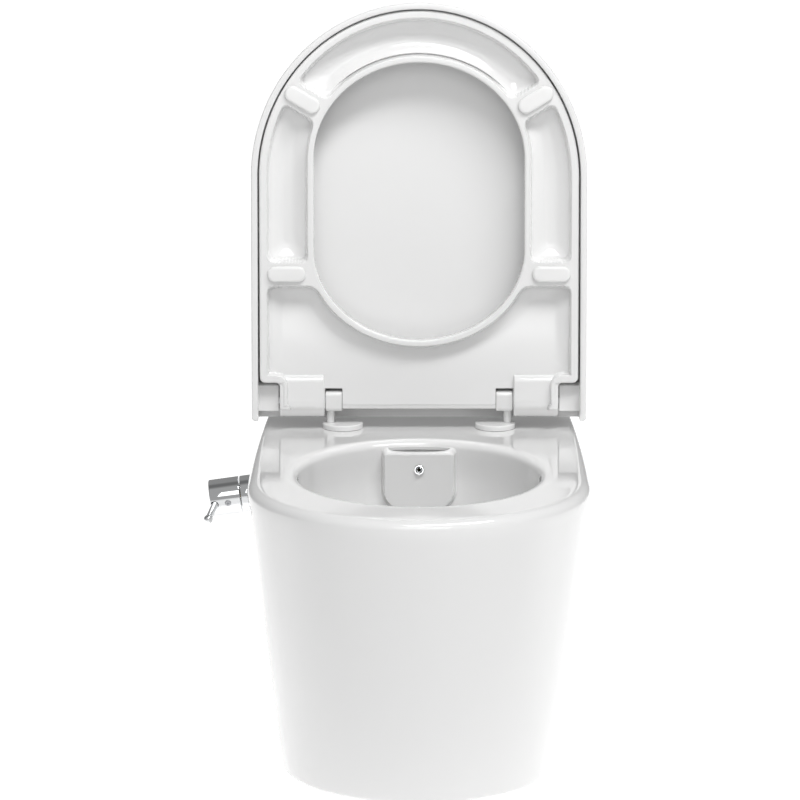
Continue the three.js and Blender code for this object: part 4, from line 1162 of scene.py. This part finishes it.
def soft_light(name, place, target, size, power):
    data = bpy.data.lights.new(name, "AREA")
    data.shape = "RECTANGLE"
    data.size, data.size_y = size
    data.energy = power
    light = bpy.data.objects.new(name, data)
    light.location = place
    light.rotation_euler = (Vector(target) - Vector(place)).to_track_quat("-Z", "Y").to_euler()
    bpy.context.scene.collection.objects.link(light)
    return light


def make_stage():
    make_floor(FLOOR_LEVEL)
    world = bpy.data.worlds.new("studio")
    world.use_nodes = True
    nodes = Nodes(world.node_tree)
    way = nodes.add("ShaderNodeTexCoord", output="Generated")
    back = nodes.axis(way, "Y")
    grey = nodes.ramp(back, -0.42, -0.08, 0.38, 0.16) + nodes.ramp(back, 0.10, 0.40, 0.0, 0.12)
    sky = world.node_tree.nodes["Background"]
    nodes.set(sky.inputs["Color"], nodes.mix_colour(grey, (0, 0, 0), (1, 1, 1)))
    scene = bpy.context.scene
    scene.world = world
    scene.view_settings.view_transform = "Standard"
    soft_light("key", (0.15, -3.5, 1.8), MODEL_MIDDLE, (2.2, 1.6), 16)
    soft_light("strip", (0.7, -1.5, 2.7), MODEL_MIDDLE, (2.3, 0.6), 62)


def make_camera():
    data = bpy.data.cameras.new("camera")
    data.sensor_width = 36
    data.lens = 187.7
    data.shift_x = -0.0238
    camera = bpy.data.objects.new("camera", data)
    camera.location = CAMERA_AT
    camera.rotation_euler = (math.radians(90) - CAMERA_PITCH, 0, 0)
    bpy.context.scene.collection.objects.link(camera)
    bpy.context.scene.camera = camera


# ---------- what stays as modelled in CAD gets its finish here ----------
HARDWARE = {
    "steel": ["wall_bracket", "bracket_screw", "hinge_pin", "hinge_bolt", "hinge_washer"],
    "brass": ["nozzle_nut", "nozzle_elbow", "mixer_body", "mixer_nut", "mixer_stem"],
    "white_plastic": ["hinge_wingnut"],
    "grey_plastic": ["feed_tube", "mixer_cartridge", "seat_damper", "seat_bush", "lid_damper", "lid_bush"],
    "black_rubber": ["nozzle_gasket", "mixer_gasket", "hinge_bushing"],
    "soft_white_rubber": ["lid_buffer"],
}


def finish_hardware():
    for finish, stems in HARDWARE.items():
        for name, node in frame["nodes"].items():
            if any(name.startswith(stem) for stem in stems):
                node.data.materials.clear()
                node.data.materials.append(material(finish))


# ---------- add-on ----------
SIDES = ((-1, "left"), (1, "right"))


class TOILET_OT_bowl(bpy.types.Operator):
    """Builds the ceramic bowl with its basin, ducts and openings"""
    bl_idname = "toilet.bowl"
    bl_label = "Ceramic bowl"

    def execute(self, context):
        make_bowl(context.scene.toilet_bowl)
        return {"FINISHED"}


class TOILET_OT_seat(bpy.types.Operator):
    """Builds the seat ring"""
    bl_idname = "toilet.seat"
    bl_label = "Seat ring"

    def execute(self, context):
        make_seat(context.scene.toilet_seat)
        return {"FINISHED"}


class TOILET_OT_pads(bpy.types.Operator):
    """Builds the rubber pads under the seat"""
    bl_idname = "toilet.pads"
    bl_label = "Seat pads"

    def execute(self, context):
        make_bumpers()
        return {"FINISHED"}


class TOILET_OT_lid(bpy.types.Operator):
    """Builds the wrap-over lid"""
    bl_idname = "toilet.lid"
    bl_label = "Lid"

    def execute(self, context):
        make_lid(context.scene.toilet_lid)
        return {"FINISHED"}


class TOILET_OT_posts(bpy.types.Operator):
    """Builds the hinge posts and the discs that they stand on"""
    bl_idname = "toilet.posts"
    bl_label = "Hinge posts"

    def execute(self, context):
        for side, word in SIDES:
            make_post(side, word)
            make_disc(side, word)
        return {"FINISHED"}


class TOILET_OT_plugs(bpy.types.Operator):
    """Builds the plugs over the wall fixings"""
    bl_idname = "toilet.plugs"
    bl_label = "Fixing plugs"

    def execute(self, context):
        for side, word in SIDES:
            make_side_plug(side, word)
        return {"FINISHED"}


class TOILET_OT_valve(bpy.types.Operator):
    """Builds the chrome sleeve, handle and lever of the mixing valve"""
    bl_idname = "toilet.valve"
    bl_label = "Mixing valve"

    def execute(self, context):
        make_sleeve()
        make_handle()
        make_lever()
        make_grip_screw()
        return {"FINISHED"}


class TOILET_OT_nozzle(bpy.types.Operator):
    """Builds the bidet nozzle's socket and ball"""
    bl_idname = "toilet.nozzle"
    bl_label = "Nozzle"

    def execute(self, context):
        make_nozzle_body()
        make_nozzle_tip()
        return {"FINISHED"}


class TOILET_OT_hardware(bpy.types.Operator):
    """Gives the carried-over hardware its finishes"""
    bl_idname = "toilet.hardware"
    bl_label = "Hardware finishes"

    def execute(self, context):
        finish_hardware()
        return {"FINISHED"}


class TOILET_OT_stage(bpy.types.Operator):
    """Builds the floor, the lights and the camera"""
    bl_idname = "toilet.stage"
    bl_label = "Stage"

    def execute(self, context):
        make_stage()
        make_camera()
        return {"FINISHED"}


OPERATORS = (TOILET_OT_bowl, TOILET_OT_seat, TOILET_OT_pads, TOILET_OT_lid, TOILET_OT_posts, TOILET_OT_plugs,
             TOILET_OT_valve, TOILET_OT_nozzle, TOILET_OT_hardware, TOILET_OT_stage)


class TOILET_PT_panel(bpy.types.Panel):
    """Sizes, finishes and build steps of the toilet"""
    bl_label = "Bidet Toilet"
    bl_space_type = "VIEW_3D"
    bl_region_type = "UI"
    bl_category = "Toilet"

    def draw(self, context):
        for operator in OPERATORS:
            self.layout.operator(operator.bl_idname)
        for name in GROUPS:
            group = getattr(context.scene, name)
            column = self.layout.column(align=True)
            for prop in group.__annotations__:
                column.prop(group, prop)


GROUPS = {
    "toilet_bowl": BowlSizes,
    "toilet_seat": SeatSizes,
    "toilet_lid": LidSizes,
    "toilet_finish": Finishes,
}


def register():
    for kind in (*GROUPS.values(), *OPERATORS, TOILET_PT_panel):
        bpy.utils.register_class(kind)
    for name, kind in GROUPS.items():
        setattr(bpy.types.Scene, name, PointerProperty(type=kind))


def unregister():
    for name in GROUPS:
        delattr(bpy.types.Scene, name)
    for kind in reversed((*GROUPS.values(), *OPERATORS, TOILET_PT_panel)):
        bpy.utils.unregister_class(kind)


def main():
    register()
    for operator in OPERATORS:
        family, action = operator.bl_idname.split(".")
        getattr(getattr(bpy.ops, family), action)()


if __name__ == "__main__":
    main()
